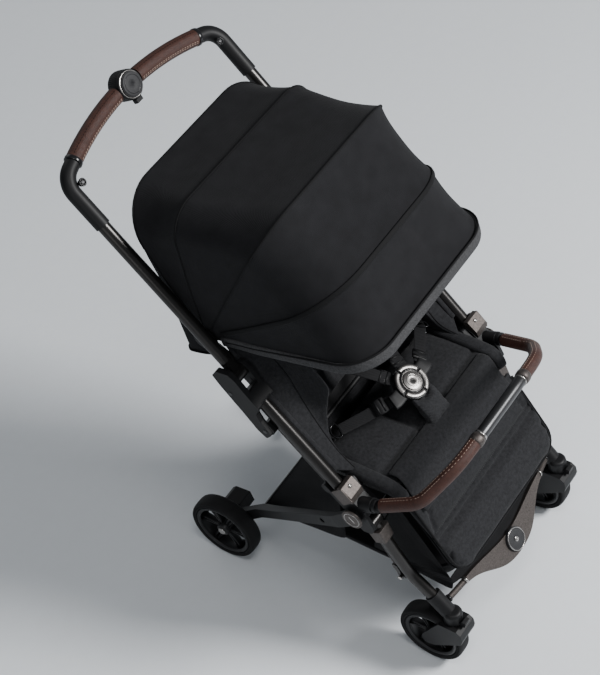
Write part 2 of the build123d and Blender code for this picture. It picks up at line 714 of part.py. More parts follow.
def leg_panel(inset, depth, thick, top):
    """Rounded panel of the calf rest."""
    w = 190.0 - inset
    low = 42.0 - inset
    face = rounded([(-w, top), (w, top), (w - 3, LEG_LEN - inset), (-w + 3, LEG_LEN - inset)],
                   [4, 4, low, low])
    plane = leg_plane()
    outward = plane.z_dir if plane.z_dir.Y < 0 else plane.z_dir * -1
    base = Pos(*(outward * -(depth + thick))) * (plane * face)
    return extrude(base, thick, dir=tuple(outward))


def legrest_board():
    """Stiff plate of the calf rest, hung on its own hinge bar."""
    barrel = cross_rod(LEG_PIVOT, -160.0, 160.0, 5.0)
    y, z = LEG_PIVOT
    arms = [slab([(y - 4.5, z - 3), (y + 4.5, z - 3), (y - 0.5, z - 18), (y - 13.9, z - 33),
                  (y - 17.2, z - 30.8), (y - 8.8, z - 17.5)], x - 12, x + 12)
            for x in (-120, 120)]
    body = leg_panel(8.0, 13.0, 4.0, 24.0)
    for piece in [barrel] + arms:
        body = body + piece
    return body


def legrest_pad():
    """Padded front of the calf rest."""
    return leg_panel(0.0, 0.0, 12.7, 26.0)


BASKET_TOP = 184.0
BASKET_LOW = 132.0
BASKET_Y = (-238.0, 84.0)


def basket():
    """Open fabric basket slung under the seat."""
    def tub(grow, low, top):
        y0, y1 = BASKET_Y[0] - grow, BASKET_Y[1] + grow
        outline = [(-192 - grow, y0), (192 + grow, y0), (166 + grow, y1), (-166 - grow, y1)]
        face = rounded(outline, 30 + grow)
        return extrude(Plane.XY.offset(low) * face, top - low)
    return tub(0.0, BASKET_LOW, BASKET_TOP) - tub(-2.0, BASKET_LOW + 2.0, BASKET_TOP + 10)


# ---- assembly ----------------------------------------------------------
def build_root():
    add_pair("seat_tube", seat_tube())
    add("fold_housings", both(fold_housing()))
    block = upper_block()
    add("mid_housings", both(mid_housing() - block))
    add("mid_joint_trims", both(block) + both(hub_cap()))
    add("seat_pan", seat_pan())
    add("seat_pad", seat_pad())
    add("rear_bow", bow(*CANOPY_STATIONS[0], 211.7))
    buckle = buckle_body()
    add("crotch_pad", crotch_pad() - buckle)
    add("buckle_body", buckle)
    add("buckle_button", buckle_button())
    add("hip_straps", both(hip_strap()))
    add("basket", basket())


def build_handle():
    add_pair("handle_tube", handle_tube())
    add("handle_corners", both(handle_corner()))
    hub = fold_hub()
    add("grip_covers", both(grip_cover() - hub))
    add("fold_hub", hub)
    add("fold_button", fold_button())
    add("lock_tab", lock_tab())
    add("fold_rods", both(fold_rod()))


def build_canopy():
    for i in range(1, len(CANOPY_STATIONS)):
        angle, height, radius = CANOPY_STATIONS[i]
        add(f"canopy_bow_{i}", bow(angle, height, radius, 211.7 - 3.4 * i))
        add(f"canopy_panel_{i}", canopy_panel(CANOPY_STATIONS[i - 1], CANOPY_STATIONS[i]))


def build_rear():
    add_pair("rear_leg", rear_leg())
    add("rear_axle", rear_axle())
    add("brake_pedal", brake_pedal())
    add_pair("rear_rim", rim(REAR_WHEEL_X, REAR_AXLE, REAR_WHEEL_R))
    add_pair("rear_tyre", tyre(REAR_WHEEL_X, REAR_AXLE, REAR_WHEEL_R))


def build_front():
    leg = front_leg()
    add_pair("front_leg", leg)
    add("leg_collars", both(leg_collar() - leg))
    add("link_rods", both(link_rod()))
    bar = crossbar() - both_fused(leg)
    add("crossbar", bar)
    add("medallion", medallion())
    add("caster_knuckles", both(knuckle() - leg - bar))
    hub = (CASTER[1] + TRAIL, FRONT_WHEEL_R)
    add_pair("swivel_tab", swivel_tab())
    add_pair("fork", fork())
    add_pair("front_rim", rim(CASTER[0], hub, FRONT_WHEEL_R))
    add_pair("front_tyre", tyre(CASTER[0], hub, FRONT_WHEEL_R))


def build_seat_parts():
    core = bumper_core()
    add("bumper_core", core)
    add("bumper_grips", both(bumper_grip() - core))
    add("bumper_sleeve", bumper_sleeve() - core)
    add("back_board", back_board())
    add("back_pad", back_pad())
    left_strap = shoulder_strap()
    add("shoulder_straps", left_strap + [mirror(s, about=Plane.YZ) for s in left_strap])
    add("legrest_board", legrest_board())
    add("legrest_pad", legrest_pad())


build_root()
build_handle()
build_canopy()
build_rear()
build_front()
build_seat_parts()

os.makedirs("parts", exist_ok=True)
for node_name, node_shape in nodes.items():
    export_step(node_shape, f"parts/{node_name}.step")
box = Compound(children=list(nodes.values())).bounding_box()
print(len(nodes), "nodes written; middle of the length at y =", round(box.center().Y, 3))
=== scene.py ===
import json
from math import atan2, cos, hypot, pi, radians, sin, sqrt, tan

import bmesh
import bpy
from mathutils import Matrix, Vector, noise


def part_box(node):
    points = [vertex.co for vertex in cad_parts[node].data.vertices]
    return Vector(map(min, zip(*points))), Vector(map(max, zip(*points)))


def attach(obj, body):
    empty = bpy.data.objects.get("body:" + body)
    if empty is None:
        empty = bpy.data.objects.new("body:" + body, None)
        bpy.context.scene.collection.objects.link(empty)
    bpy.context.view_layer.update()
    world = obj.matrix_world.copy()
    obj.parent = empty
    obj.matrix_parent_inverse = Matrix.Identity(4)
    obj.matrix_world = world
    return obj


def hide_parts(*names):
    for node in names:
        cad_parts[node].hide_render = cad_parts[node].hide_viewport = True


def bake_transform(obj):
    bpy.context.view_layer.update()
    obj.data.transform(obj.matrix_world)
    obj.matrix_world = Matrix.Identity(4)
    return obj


# Looks of a compact travel stroller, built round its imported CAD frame.
# Metres, +Z up, the front faces -Y and +X is the left side for the pusher.

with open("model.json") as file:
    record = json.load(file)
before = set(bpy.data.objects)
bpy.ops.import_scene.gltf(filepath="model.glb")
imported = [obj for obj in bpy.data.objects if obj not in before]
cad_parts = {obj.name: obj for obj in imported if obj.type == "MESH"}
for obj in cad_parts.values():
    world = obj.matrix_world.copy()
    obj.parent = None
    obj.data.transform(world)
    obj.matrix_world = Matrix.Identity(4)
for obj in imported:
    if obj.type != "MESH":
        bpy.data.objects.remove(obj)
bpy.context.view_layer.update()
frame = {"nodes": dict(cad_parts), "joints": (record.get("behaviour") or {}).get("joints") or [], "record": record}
NODES = frame["nodes"]
RECORD = frame["record"]
JOINTS = {joint["name"]: joint for joint in frame["joints"]}
SIDES = (("left", 1.0), ("right", -1.0))
X, Y, Z = Vector((1, 0, 0)), Vector((0, 1, 0)), Vector((0, 0, 1))


# ---- places read from the frame ----------------------------------------
def anchor(joint):
    """Point on a joint's axis."""
    return Vector(JOINTS[joint]["pos_m"])


def middle(node):
    """Centre of a node's box."""
    low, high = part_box(node)
    return (low + high) / 2


def slant(node):
    """Lie of a flat node in side view: its middle, unit vectors up it and out of its
    front, and half its length and thickness."""
    points = [(v.co.y, v.co.z) for v in NODES[node].data.vertices]
    best = None
    for step in range(360):
        a = radians(step / 2)
        up = (cos(a), sin(a))
        along = [p[0] * up[0] + p[1] * up[1] for p in points]
        out = [p[1] * up[0] - p[0] * up[1] for p in points]
        thick = max(out) - min(out)
        if best is None or thick < best[0]:
            best = (thick, up, (max(along) + min(along)) / 2, (max(out) + min(out)) / 2,
                    max(along) - min(along))
    thick, up, u_mid, n_mid, length = best
    up_v, out_v = Vector((0, up[0], up[1])), Vector((0, -up[1], up[0]))
    centre = up_v * u_mid + out_v * n_mid
    return (centre, -up_v if up_v.z < 0 else up_v, -out_v if out_v.y > 0 else out_v,
            length / 2, thick / 2)


FOLD = anchor("handle_fold")
TUBE_UP = Vector(JOINTS["fold_rod_slide"]["axis"])
TUBE_OUT = Vector((0, -TUBE_UP.z, TUBE_UP.y))
CANOPY = anchor("canopy_fold_1")
BACK_HINGE = anchor("backrest_recline")


# ---- mesh helpers ------------------------------------------------------
def make(name, verts, faces, mat):
    """Mesh object from plain lists."""
    mesh = bpy.data.meshes.new(name)
    mesh.from_pydata([tuple(v) for v in verts], [], faces)
    mesh.update()
    obj = bpy.data.objects.new(name, mesh)
    bpy.context.scene.collection.objects.link(obj)
    if mat is not None:
        mesh.materials.append(mat)
    for polygon in mesh.polygons:
        polygon.use_smooth = True
    return obj


def fix_normals(obj):
    """Faces all turned outwards."""
    work = bmesh.new()
    work.from_mesh(obj.data)
    bmesh.ops.recalc_face_normals(work, faces=work.faces)
    work.to_mesh(obj.data)
    work.free()
    return obj


def loft(name, rows, mat, ring=False, loop=False, caps=False):
    """Grid of quads through rows of points; ring closes each row on itself."""
    n, m = len(rows), len(rows[0])
    faces = []
    for i in range(n if loop else n - 1):
        for j in range(m if ring else m - 1):
            a, b = i, (i + 1) % n
            c, d = j, (j + 1) % m
            faces.append((a * m + c, a * m + d, b * m + d, b * m + c))
    if caps:
        faces.append(tuple(range(m))[::-1])
        faces.append(tuple((n - 1) * m + j for j in range(m)))
    obj = make(name, [p for row in rows for p in row], faces, mat)
    return fix_normals(obj) if ring else obj


def oval(width, height, count=14, square=2.0):
    """Closed section; square above 2 makes it boxier."""
    points = []
    for i in range(count):
        a = 2 * pi * (i + 0.5) / count
        c, s = cos(a), sin(a)
        x = abs(c) ** (2 / square) * (1 if c >= 0 else -1)
        y = abs(s) ** (2 / square) * (1 if s >= 0 else -1)
        points.append((x * width / 2, y * height / 2))
    return points


def sweep(name, path, section, mat, loop=False, up=None, scale=None):
    """Section carried along a path; up holds it level, or else it follows freely."""
    points = [Vector(p) for p in path]
    count = len(points)
    rows, normal = [], None
    for i, here in enumerate(points):
        ahead = points[(i + 1) % count] if loop or i < count - 1 else here
        behind = points[i - 1] if loop or i > 0 else here
        along = (ahead - behind).normalized()
        if up is not None:
            normal = Vector(up[i] if isinstance(up, list) else up)
        elif normal is None:
            normal = Z.copy() if abs(along.z) < 0.9 else Y.copy()
        normal = (normal - along * normal.dot(along)).normalized()
        side = along.cross(normal)
        grow = scale[i] if scale else 1.0
        rows.append([here + side * a * grow + normal * b * grow for a, b in section])
    return loft(name, rows, mat, ring=True, loop=loop, caps=not loop)


def curve_through(points, steps=8, loop=False):
    """Smooth path through the points."""
    pts = [Vector(p) for p in points]
    count = len(pts)
    path = []
    for i in range(count if loop else count - 1):
        if loop:
            a, b, c, d = pts[i - 1], pts[i], pts[(i + 1) % count], pts[(i + 2) % count]
        else:
            a, b = pts[max(i - 1, 0)], pts[i]
            c, d = pts[i + 1], pts[min(i + 2, count - 1)]
        for k in range(steps):
            t = k / steps
            path.append(0.5 * (2 * b + (c - a) * t + (2 * a - 5 * b + 4 * c - d) * t * t
                               + (3 * b - a - 3 * c + d) * t ** 3))
    if not loop:
        path.append(pts[-1])
    return path


def axes_of(axis):
    """Two unit vectors square to an axis."""
    axis = Vector(axis).normalized()
    first = axis.cross(Z if abs(axis.z) < 0.9 else X).normalized()
    return axis, first, axis.cross(first)


def lathe(name, profile, centre, axis, mat, segments=48, start=0.0, turn=1.0):
    """Profile of (radius, height) turned about an axis; turn below 1 leaves a gap."""
    axis, first, second = axes_of(axis)
    rows = []
    whole = turn > 0.999
    for i in range(segments + (0 if whole else 1)):
        a = 2 * pi * (start + turn * i / segments)
        out = first * cos(a) + second * sin(a)
        rows.append([Vector(centre) + out * r + axis * h for r, h in profile])
    return loft(name, rows, mat, ring=True, loop=whole, caps=not whole)


def flat_ring(name, inner, outer, height, at, axis, mat, segments=48):
    """Square-edged ring standing on a point."""
    profile = [(inner, 0.0), (outer, 0.0), (outer, height), (inner, height)]
    return lathe(name, profile, at, axis, mat, segments)


def disc(name, centre, axis, radius, height, mat, crown=0.15, segments=40):
    """Round plug with an eased rim and a slightly crowned face."""
    e = min(0.0012, height * 0.35, radius * 0.2)
    profile = [(0.00001, 0.0), (radius, 0.0), (radius, height - e),
               (radius - e * 0.3, height - e * 0.3), (radius - e, height),
               (radius * 0.5, height + crown * e), (0.00001, height + crown * e)]
    return lathe(name, profile, centre, axis, mat, segments)


def join(name, parts):
    """Several meshes as one object."""
    verts, faces, slots, mats = [], [], [], []
    for part in parts:
        base = len(verts)
        verts += [part.matrix_world @ v.co for v in part.data.vertices]
        mat = part.data.materials[0]
        if mat not in mats:
            mats.append(mat)
        for polygon in part.data.polygons:
            faces.append([base + k for k in polygon.vertices])
            slots.append(mats.index(mat))
        bpy.data.objects.remove(part)
    obj = make(name, verts, faces, None)
    for mat in mats:
        obj.data.materials.append(mat)
    for polygon, slot_index in zip(obj.data.polygons, slots):
        polygon.material_index = slot_index
    return obj


def soften(obj, width=0.001, segments=2):
    """Rounded edges on a hard piece."""
    mod = obj.modifiers.new("edges", "BEVEL")
    mod.width = width
    mod.segments = segments
    mod.limit_method = "ANGLE"
    return obj


def thicken(obj, thickness, levels=0):
    """Sheet given its thickness on the inside."""
    mod = obj.modifiers.new("thickness", "SOLIDIFY")
    mod.thickness = thickness
    mod.offset = -1.0
    if levels:
        sub = obj.modifiers.new("smooth", "SUBSURF")
        sub.levels = levels
        sub.render_levels = levels
    return obj


def faces_out(obj, point):
    """Open sheet turned so that its faces look away from a point."""
    total = 0.0
    for polygon in obj.data.polygons:
        total += polygon.area * polygon.normal.dot(polygon.center - Vector(point))
    if total < 0:
        obj.data.flip_normals()
    return obj


def evaluated_mesh(obj):
    """Mesh of an object with its modifiers applied."""
    graph = bpy.context.evaluated_depsgraph_get()
    return bpy.data.meshes.new_from_object(obj.evaluated_get(graph))


def inflate(obj, voxel=0.005, pressure=4.0, cap=0.010, shrink=0.003, seam=None):
    """Stuffs a closed shape by cloth simulation; seam(point) marks sewn-down stitching."""
    remesh = obj.modifiers.new("remesh", "REMESH")
    remesh.mode = "VOXEL"
    remesh.voxel_size = voxel
    mesh = evaluated_mesh(obj)
    obj.modifiers.clear()
    obj.data = mesh
    normals = [v.normal.copy() for v in mesh.vertices]
    pinned = []
    for v, normal in zip(mesh.vertices, normals):
        depth = seam(v.co, normal) if seam else 0.0
        if depth > 0:
            pinned.append(v.index)
        v.co -= normal * (shrink + depth)
    rest = [v.co.copy() for v in mesh.vertices]
    group = obj.vertex_groups.new(name="sewn")
    group.add(pinned, 1.0, "REPLACE")
    cloth = obj.modifiers.new("cloth", "CLOTH")
    cloth.settings.use_pressure = True
    cloth.settings.uniform_pressure_force = pressure
    cloth.settings.effector_weights.gravity = 0.0
    cloth.settings.vertex_group_mass = "sewn"
    cloth.point_cache.frame_start = 1
    cloth.point_cache.frame_end = 20
    scene = bpy.context.scene
    for tick in range(1, 21):
        scene.frame_set(tick)
    swollen = evaluated_mesh(obj)
    obj.modifiers.clear()
    scene.frame_set(1)
    for v, new, old in zip(mesh.vertices, swollen.vertices, rest):
        move = new.co - old
        v.co = old + move * min(1.0, cap / max(move.length, 1e-9))
    bpy.data.meshes.remove(swollen)
    relax = bmesh.new()
    relax.from_mesh(mesh)
    for _ in range(2):
        bmesh.ops.smooth_vert(relax, verts=relax.verts, factor=0.35, use_axis_x=True,
                              use_axis_y=True, use_axis_z=True)
    relax.to_mesh(mesh)
    relax.free()
    for polygon in mesh.polygons:
        polygon.use_smooth = True
    sub = obj.modifiers.new("smooth", "SUBSURF")
    sub.levels = 1
    sub.render_levels = 1
    return obj


def copy_of(node, name, mat):
    """New object with a CAD node's shape."""
    mesh = NODES[node].data.copy()
    mesh.materials.clear()
    mesh.materials.append(mat)
    obj = bpy.data.objects.new(name, mesh)
    bpy.context.scene.collection.objects.link(obj)
    work = bmesh.new()
    work.from_mesh(mesh)
    bmesh.ops.remove_doubles(work, verts=work.verts, dist=1e-6)
    work.to_mesh(mesh)
    work.free()
    return obj


def finish_piece(obj, body, stands_for=()):
    """Rides a body, and hides the nodes it stands for."""
    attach(obj, body)
    if stands_for:
        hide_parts(*stands_for)
    return obj


def cloth(sheet, inside, thickness, held, rests_on, width, ease):
    """Sheet facing away from a point and thickened; ease is its spare length."""
    faces_out(sheet, inside)
    thicken(sheet, thickness, 1)
    return sheet


def span(obj, start):
    """Bakes an object's placement into its mesh."""
    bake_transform(obj)


def length_of(path):
    """Length of a line through points."""
    return sum((a - b).length for a, b in zip(path, path[1:]))


def plug(name, at, axis, radius, height, mat, crown, body, segments=40):
    """Disc that rides a body."""
    return finish_piece(disc(name, at, axis, radius, height, mat, crown, segments), body)


# ---- materials ---------------------------------------------------------
def surface(name, base, rough, metallic=0.0, pattern="noise", cell=0.0012, depth=0.25,
            spread=0.15, patch=0.05, edge=0.0, **fixed):
    """Procedural finish: colour drift, roughness drift and a fine relief."""
    mat = bpy.data.materials.new(name)
    mat.use_nodes = True
    tree = mat.node_tree
    shader = tree.nodes["Principled BSDF"]

    def put(value, socket):
        """Links a socket, or sets a plain value."""
        if isinstance(value, bpy.types.NodeSocket):
            tree.links.new(value, socket)
        else:
            socket.default_value = value

    def node(kind, **values):
        """New shader node with its inputs and settings."""
        made = tree.nodes.new("ShaderNode" + kind)
        for key, value in values.items():
            label = key.replace("_", " ")
            if label in made.inputs:
                put(value, made.inputs[label])
            else:
                setattr(made, key, value)
        return made

    def sums(kind, *terms):
        """Result of a maths node."""
        made = node("Math", operation=kind)
        for value, socket in zip(terms, made.inputs):
            put(value, socket)
        return made.outputs[0]

    at = node("TexCoord").outputs["Object"]
    drift = node("TexNoise", Scale=1 / patch, Detail=3.0, Vector=at).outputs["Fac"]
    fine = node("TexNoise", Scale=0.7 / cell, Detail=4.0, Roughness=0.65,
                Vector=at).outputs["Fac"]
    height = fine
    if pattern in ("weave", "twill", "brushed"):
        ways = {"weave": ("X", "Z"), "twill": ("DIAGONAL",), "brushed": ("X",)}[pattern]
        bands = [node("TexWave", Scale=0.16 / cell, Distortion=0.6, Detail=1.0, Vector=at,
                      bands_direction=way).outputs["Fac"] for way in ways]
        if len(bands) == 2:
            bands = [sums("ADD", *bands)]
        height = sums("ADD", bands[0], fine)
    elif pattern == "pebble":
        height = node("TexVoronoi", Scale=1 / cell, Vector=at).outputs["Distance"]
    mottle = sums("MULTIPLY_ADD", drift, 0.5, sums("MULTIPLY", fine, 0.5))
    stretch = node("MapRange", From_Min=0.35, From_Max=0.65, Value=mottle)
    dark = (*[c * (1 - spread) for c in base], 1.0)
    light = (*[min(1.0, c * (1 + spread)) for c in base], 1.0)
    tint = node("Mix", data_type="RGBA", A=dark, B=light, Factor=stretch.outputs["Result"])
    dull = node("MapRange", To_Min=max(0.03, rough - 0.07), To_Max=min(1.0, rough + 0.07),
                Value=fine)
    relief = node("Bump", Strength=depth, Distance=cell * 0.35, Height=height)
    if edge:
        eased = node("Bevel", Radius=edge, samples=4)
        put(eased.outputs["Normal"], relief.inputs["Normal"])
    fixed.update(Base_Color=tint.outputs["Result"], Roughness=dull.outputs["Result"],
                 Normal=relief.outputs["Normal"], Metallic=metallic)
    for key, value in fixed.items():
        put(value, shader.inputs[key.replace("_", " ")])
    return mat


TUBE = surface("tube_anodised", (0.042, 0.040, 0.039), 0.29, 0.85, cell=0.0004, depth=0.02,
               spread=0.10)
PLASTIC = surface("moulded_black", (0.0085, 0.0085, 0.0092), 0.48, cell=0.0006, depth=0.22,
                  spread=0.2, edge=0.0010, Specular_IOR_Level=0.20)
ACCENT = surface("satin_champagne", (0.084, 0.073, 0.068), 0.50, 0.80, cell=0.0006, depth=0.25,
                 spread=0.42, patch=0.003, edge=0.0008)
LEATHER = surface("brown_leather", (0.044, 0.0165, 0.0115), 0.55, pattern="pebble", cell=0.0020,
                  depth=0.95, spread=0.32, patch=0.010, Specular_IOR_Level=0.32)
GLOSS = surface("gloss_black", (0.009, 0.009, 0.010), 0.22, cell=0.0005, depth=0.04,
                spread=0.2, edge=0.0006, Specular_IOR_Level=0.35)
CHROME = surface("bright_chrome", (0.38, 0.365, 0.35), 0.22, 0.95, cell=0.0004, depth=0.06,
                 spread=0.06)
STEEL = surface("brushed_steel", (0.060, 0.060, 0.062), 0.34, 0.85, pattern="brushed", cell=0.0006,
                depth=0.12, spread=0.1)
HOOD = surface("hood_fabric", (0.0105, 0.0105, 0.0118), 0.84, pattern="weave", cell=0.0007,
               depth=0.55, spread=0.22, patch=0.03, Specular_IOR_Level=0.12,
               Sheen_Weight=0.030, Sheen_Roughness=0.5)
HEATHER = surface("heather_fabric", (0.0175, 0.0178, 0.0195), 0.90, pattern="weave", cell=0.0009,
                  depth=0.7, spread=0.42, patch=0.006, Specular_IOR_Level=0.14,
                  Sheen_Weight=0.05, Sheen_Roughness=0.5)
TWILL = surface("twill_pad", (0.0185, 0.0188, 0.0205), 0.88, pattern="twill", cell=0.0024,
                depth=0.8, spread=0.34, patch=0.006, Specular_IOR_Level=0.14,
                Sheen_Weight=0.05, Sheen_Roughness=0.5)
BINDING = surface("binding_tape", (0.046, 0.046, 0.048), 0.86, pattern="twill", cell=0.0012,
                  depth=0.7, spread=0.40, patch=0.003, Specular_IOR_Level=0.15)
PIPING = surface("piping_cord", (0.006, 0.006, 0.0065), 0.80, cell=0.0006, depth=0.3,
                 spread=0.2, Specular_IOR_Level=0.15)
WEBBING = surface("webbing_ribbed", (0.010, 0.010, 0.011), 0.78, pattern="twill", cell=0.0014,
                  depth=0.8, spread=0.25, Specular_IOR_Level=0.20)
LINING = surface("basket_cloth", (0.0088, 0.0088, 0.0096), 0.84, pattern="weave", cell=0.0009,
                 depth=0.6, spread=0.25, patch=0.04, Specular_IOR_Level=0.16,
                 Sheen_Weight=0.02)
RUBBER = surface("foam_rubber", (0.010, 0.010, 0.0105), 0.70, cell=0.0009, depth=0.4,
                 spread=0.25, patch=0.02, Specular_IOR_Level=0.18)
RIM = surface("rim_moulding", (0.010, 0.010, 0.011), 0.42, cell=0.0006, depth=0.15,
              spread=0.2, edge=0.0008, Specular_IOR_Level=0.35)
BUCKLE_METAL = surface("buckle_metal", (0.21, 0.200, 0.192), 0.30, 0.92, pattern="brushed",
                       cell=0.0005, depth=0.2, spread=0.22)
BADGE = surface("badge_face", (0.020, 0.020, 0.022), 0.60, 0.0, pattern="pebble", cell=0.0012,
                depth=0.6, spread=0.4, patch=0.002, Specular_IOR_Level=0.35)
THREAD = surface("thread", (0.30, 0.22, 0.18), 0.6, cell=0.0003, depth=0.3)
GREY_THREAD = surface("grey_thread", (0.030, 0.030, 0.032), 0.75, cell=0.0003, depth=0.3)

SLOT_FINISH = {"frame_tube": TUBE, "black_plastic": PLASTIC, "accent_metal": ACCENT,
               "leather": LEATHER, "gloss_black": GLOSS, "steel": STEEL, "canopy_fabric": HOOD,
               "seat_fabric": HEATHER, "webbing": WEBBING, "basket_fabric": LINING,
               "tyre": RUBBER, "rim": RIM, "bow_plastic": PLASTIC,
               "buckle_metal": BUCKLE_METAL, "badge": BADGE}


def dress_nodes():
    """Each CAD node takes the finish of its record slot."""
    for part in RECORD["subparts"]:
        node = NODES.get(part.get("node", part.get("name")))
        mat = SLOT_FINISH.get(part.get("material_slot", part.get("material")))
        if node is None or mat is None:
            continue
        node.data.materials.clear()
        node.data.materials.append(mat)


# ---- canopy ------------------------------------------------------------
BOWS = ("rear_bow", "canopy_bow_1", "canopy_bow_2", "canopy_bow_3", "canopy_bow_4")
HOOD_BODIES = ("seat_frame", "canopy_1", "canopy_2", "canopy_3", "canopy_4")
CORNERS = (0.095, 0.062, 0.092, 0.120, 0.080)  # radius of the cloth's corners over each bow
CLOTH_OFF = 0.0035          # outer face of the cloth above a bow's outer face
HOOD_START = 0.024          # cloth begins this far from the pivot
HOOD_T = 0.0012             # thickness of the cloth
HOOD_SAG = (0.007, 0.008, 0.008, 0.006)  # its dip between each two bows
BLEND_R = 0.15              # radius at which the cloth keeps up with both bows


def radial(angle):
    """Unit vector from the canopy pivot at an angle above straight ahead."""
    return Vector((0, -cos(angle), sin(angle)))


def read_bow(node):
    """Angle, height of cloth and half width of one bow."""
    points = [v.co - CANOPY for v in NODES[node].data.vertices]
    reach = max(hypot(p.y, p.z) for p in points)
    top = [p for p in points if hypot(p.y, p.z) > reach - 0.004]
    angle = atan2(sum(p.z for p in top), -sum(p.y for p in top))
    half = max(abs(p.x) for p in points)
    return angle, reach + CLOTH_OFF, half + CLOTH_OFF


BOW_DATA = [read_bow(node) for node in BOWS]


def hood_profile(index, out=0.0, start=HOOD_START, straight=12, bend=12, top=8):
    """Arch over a bow: (x, radius, outward x, outward radius) from side to side."""
    _, height, half = BOW_DATA[index]
    corner = CORNERS[index]
    side = []
    rise = height - corner - start
    for i in range(straight):
        r = start + rise * i / straight
        t = min(1.0, max(0.0, (r - 0.066) / 0.062))
        side.append((half - 0.003 * (1 - t * t * (3 - 2 * t)), r, 1.0, 0.0))
    for i in range(bend):
        a = pi / 2 * i / bend
        side.append((half - corner + corner * cos(a), height - corner + corner * sin(a),
                     cos(a), sin(a)))
    flat = half - corner
    for i in range(top):
        side.append((flat * (1 - i / top), height, 0.0, 1.0))
    side.append((0.0, height, 0.0, 1.0))
    whole = side + [(-x, r, -nx, nr) for x, r, nx, nr in reversed(side[:-1])]
    return [(x + nx * out, r + nr * out, nx, nr) for x, r, nx, nr in whole]


def hood_point(x, r, angle):
    """Point across and out from the canopy pivot, at an angle above straight ahead."""
    return CANOPY + X * x + radial(angle) * r


def hood_line(index, out=0.0, shift=0.0, start=HOOD_START):
    """Path over one bow, shifted ahead by an angle."""
    angle = BOW_DATA[index][0] - shift
    return [hood_point(x, r, angle) for x, r, _, _ in hood_profile(index, out, start)]


def hood_outs(index, shift=0.0):
    """Outward vectors along hood_line."""
    angle = BOW_DATA[index][0] - shift
    return [X * nx + radial(angle) * nr for _, _, nx, nr in hood_profile(index)]


def hood_sector(index, steps=14):
    """Cloth drawn between two bows, dipping a little between them."""
    near, far = hood_profile(index - 1), hood_profile(index)
    a0, a1 = BOW_DATA[index - 1][0], BOW_DATA[index][0]
    rows = []
    for i in range(steps + 1):
        v = i / steps
        dip = HOOD_SAG[index - 1] * (4 * v * (1 - v)) ** 0.8
        mid = radial(a0 + (a1 - a0) * v)
        row = []
        for (x0, r0, nx0, nr0), (x1, r1, nx1, nr1) in zip(near, far):
            p = hood_point(x0, r0, a0).lerp(hood_point(x1, r1, a1), v)
            out = X * (nx0 + nx1) / 2 + mid * (nr0 + nr1) / 2
            reach = min(1.0, (r0 + r1) / 0.5)
            pull = noise.noise(Vector((p.x * 9, p.y * 14, p.z * 14 + index * 5)))
            p -= out * reach * dip * (1.0 + 0.35 * pull)
            row.append(p)
        rows.append(row)
    sheet = loft(f"hood_cloth_{index}", rows, HOOD)
    width = max(length_of(rows[0]), length_of(rows[-1]))
    cloth(sheet, CANOPY + Z * 0.1, HOOD_T, "stretched", [BOWS[index - 1], BOWS[index]], width,
          1.35)
    start, end = (CANOPY + radial(a) * BLEND_R for a in (a0, a1))
    span(sheet, start)
    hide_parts(f"canopy_panel_{index}")


def hood_trims():
    """Seams over the bows, the zip tape and the bound front edge."""
    for index in (0, 1, 2):
        seam = sweep(f"hood_seam_{index}", hood_line(index, 0.0002, start=0.03),
                     oval(0.0042, 0.0022), PIPING, up=hood_outs(index))
        finish_piece(seam, HOOD_BODIES[index])
    tape = sweep("zip_tape", hood_line(3, 0.0006, start=0.05), oval(0.0100, 0.0042, square=3.0),
                 PIPING, up=hood_outs(3))
    finish_piece(tape, "canopy_3")
    cord = sweep("visor_piping", hood_line(4, 0.0012, shift=-0.026, start=0.05),
                 oval(0.0042, 0.0042), PIPING)
    finish_piece(cord, "canopy_4")
    edge = sweep("visor_binding", hood_line(4, -0.0014, shift=0.010, start=0.04),
                 oval(0.0230, 0.0080, square=2.6), BINDING, up=hood_outs(4))
    finish_piece(edge, "canopy_4")


def hood_pivots():
    """Round caps over the pivots of the bows."""
    for label, side in SIDES:
        centre = Vector((side * 0.2140, CANOPY.y, CANOPY.z))
        plug(f"hood_pivot_cap_{label}", centre, X * side, 0.0270, 0.0062, PLASTIC, 0.5,
             "seat_frame")


SKIRT_HEM = 0.650           # height of the rear drop's hem
SKIRT_BACK = 0.174          # its rearmost line at the hem


def hood_skirt(steps=12):
    """Rear drop of the hood, from the rear bow down behind the backrest."""
    angle = BOW_DATA[0][0]
    top = [hood_point(x, r, angle) for x, r, _, _ in hood_profile(0, start=0.048)]
    count = len(top)
    hem = []
    for i in range(count):
        t = 2 * i / (count - 1) - 1
        a = min(1.0, abs(t))
        along = max(0.0, (a - 0.52) / 0.48)
        x = -0.212 * min(1.0, a / 0.52) ** 0.8 + 0.012 * along * along
        y = SKIRT_BACK - 0.056 * along + 0.004 * (1 - a)
        corner = max(0.0, 1 - abs(a - 0.52) / 0.12)
        hem.append(Vector((x * (1 if t > 0 else -1) * (1 - 0.04 * corner), y - 0.006 * corner,
                           SKIRT_HEM)))
    rows = []
    for k in range(steps + 1):
        v = k / steps
        row = []
        for p, q in zip(top, hem):
            here = p.lerp(q, v)
            side = 1 if here.x > 0 else -1
            wave = noise.noise(here * 13.0) * 0.006 * sin(pi * min(1.0, v * 1.3))
            here += Vector((-side * 0.004 * sin(pi * v), wave, 0))
            row.append(here)
        rows.append(row)
    skirt = loft("hood_rear_drop", rows, HOOD)
    cloth(skirt, (0, 0.05, 0.8), HOOD_T, "hung", ["rear_bow"], length_of(rows[0]), 1.3)
    span(skirt, CANOPY.copy())
    binding = sweep("rear_drop_hem", hem, oval(0.0070, 0.0035), PIPING)
    finish_piece(binding, "backrest")


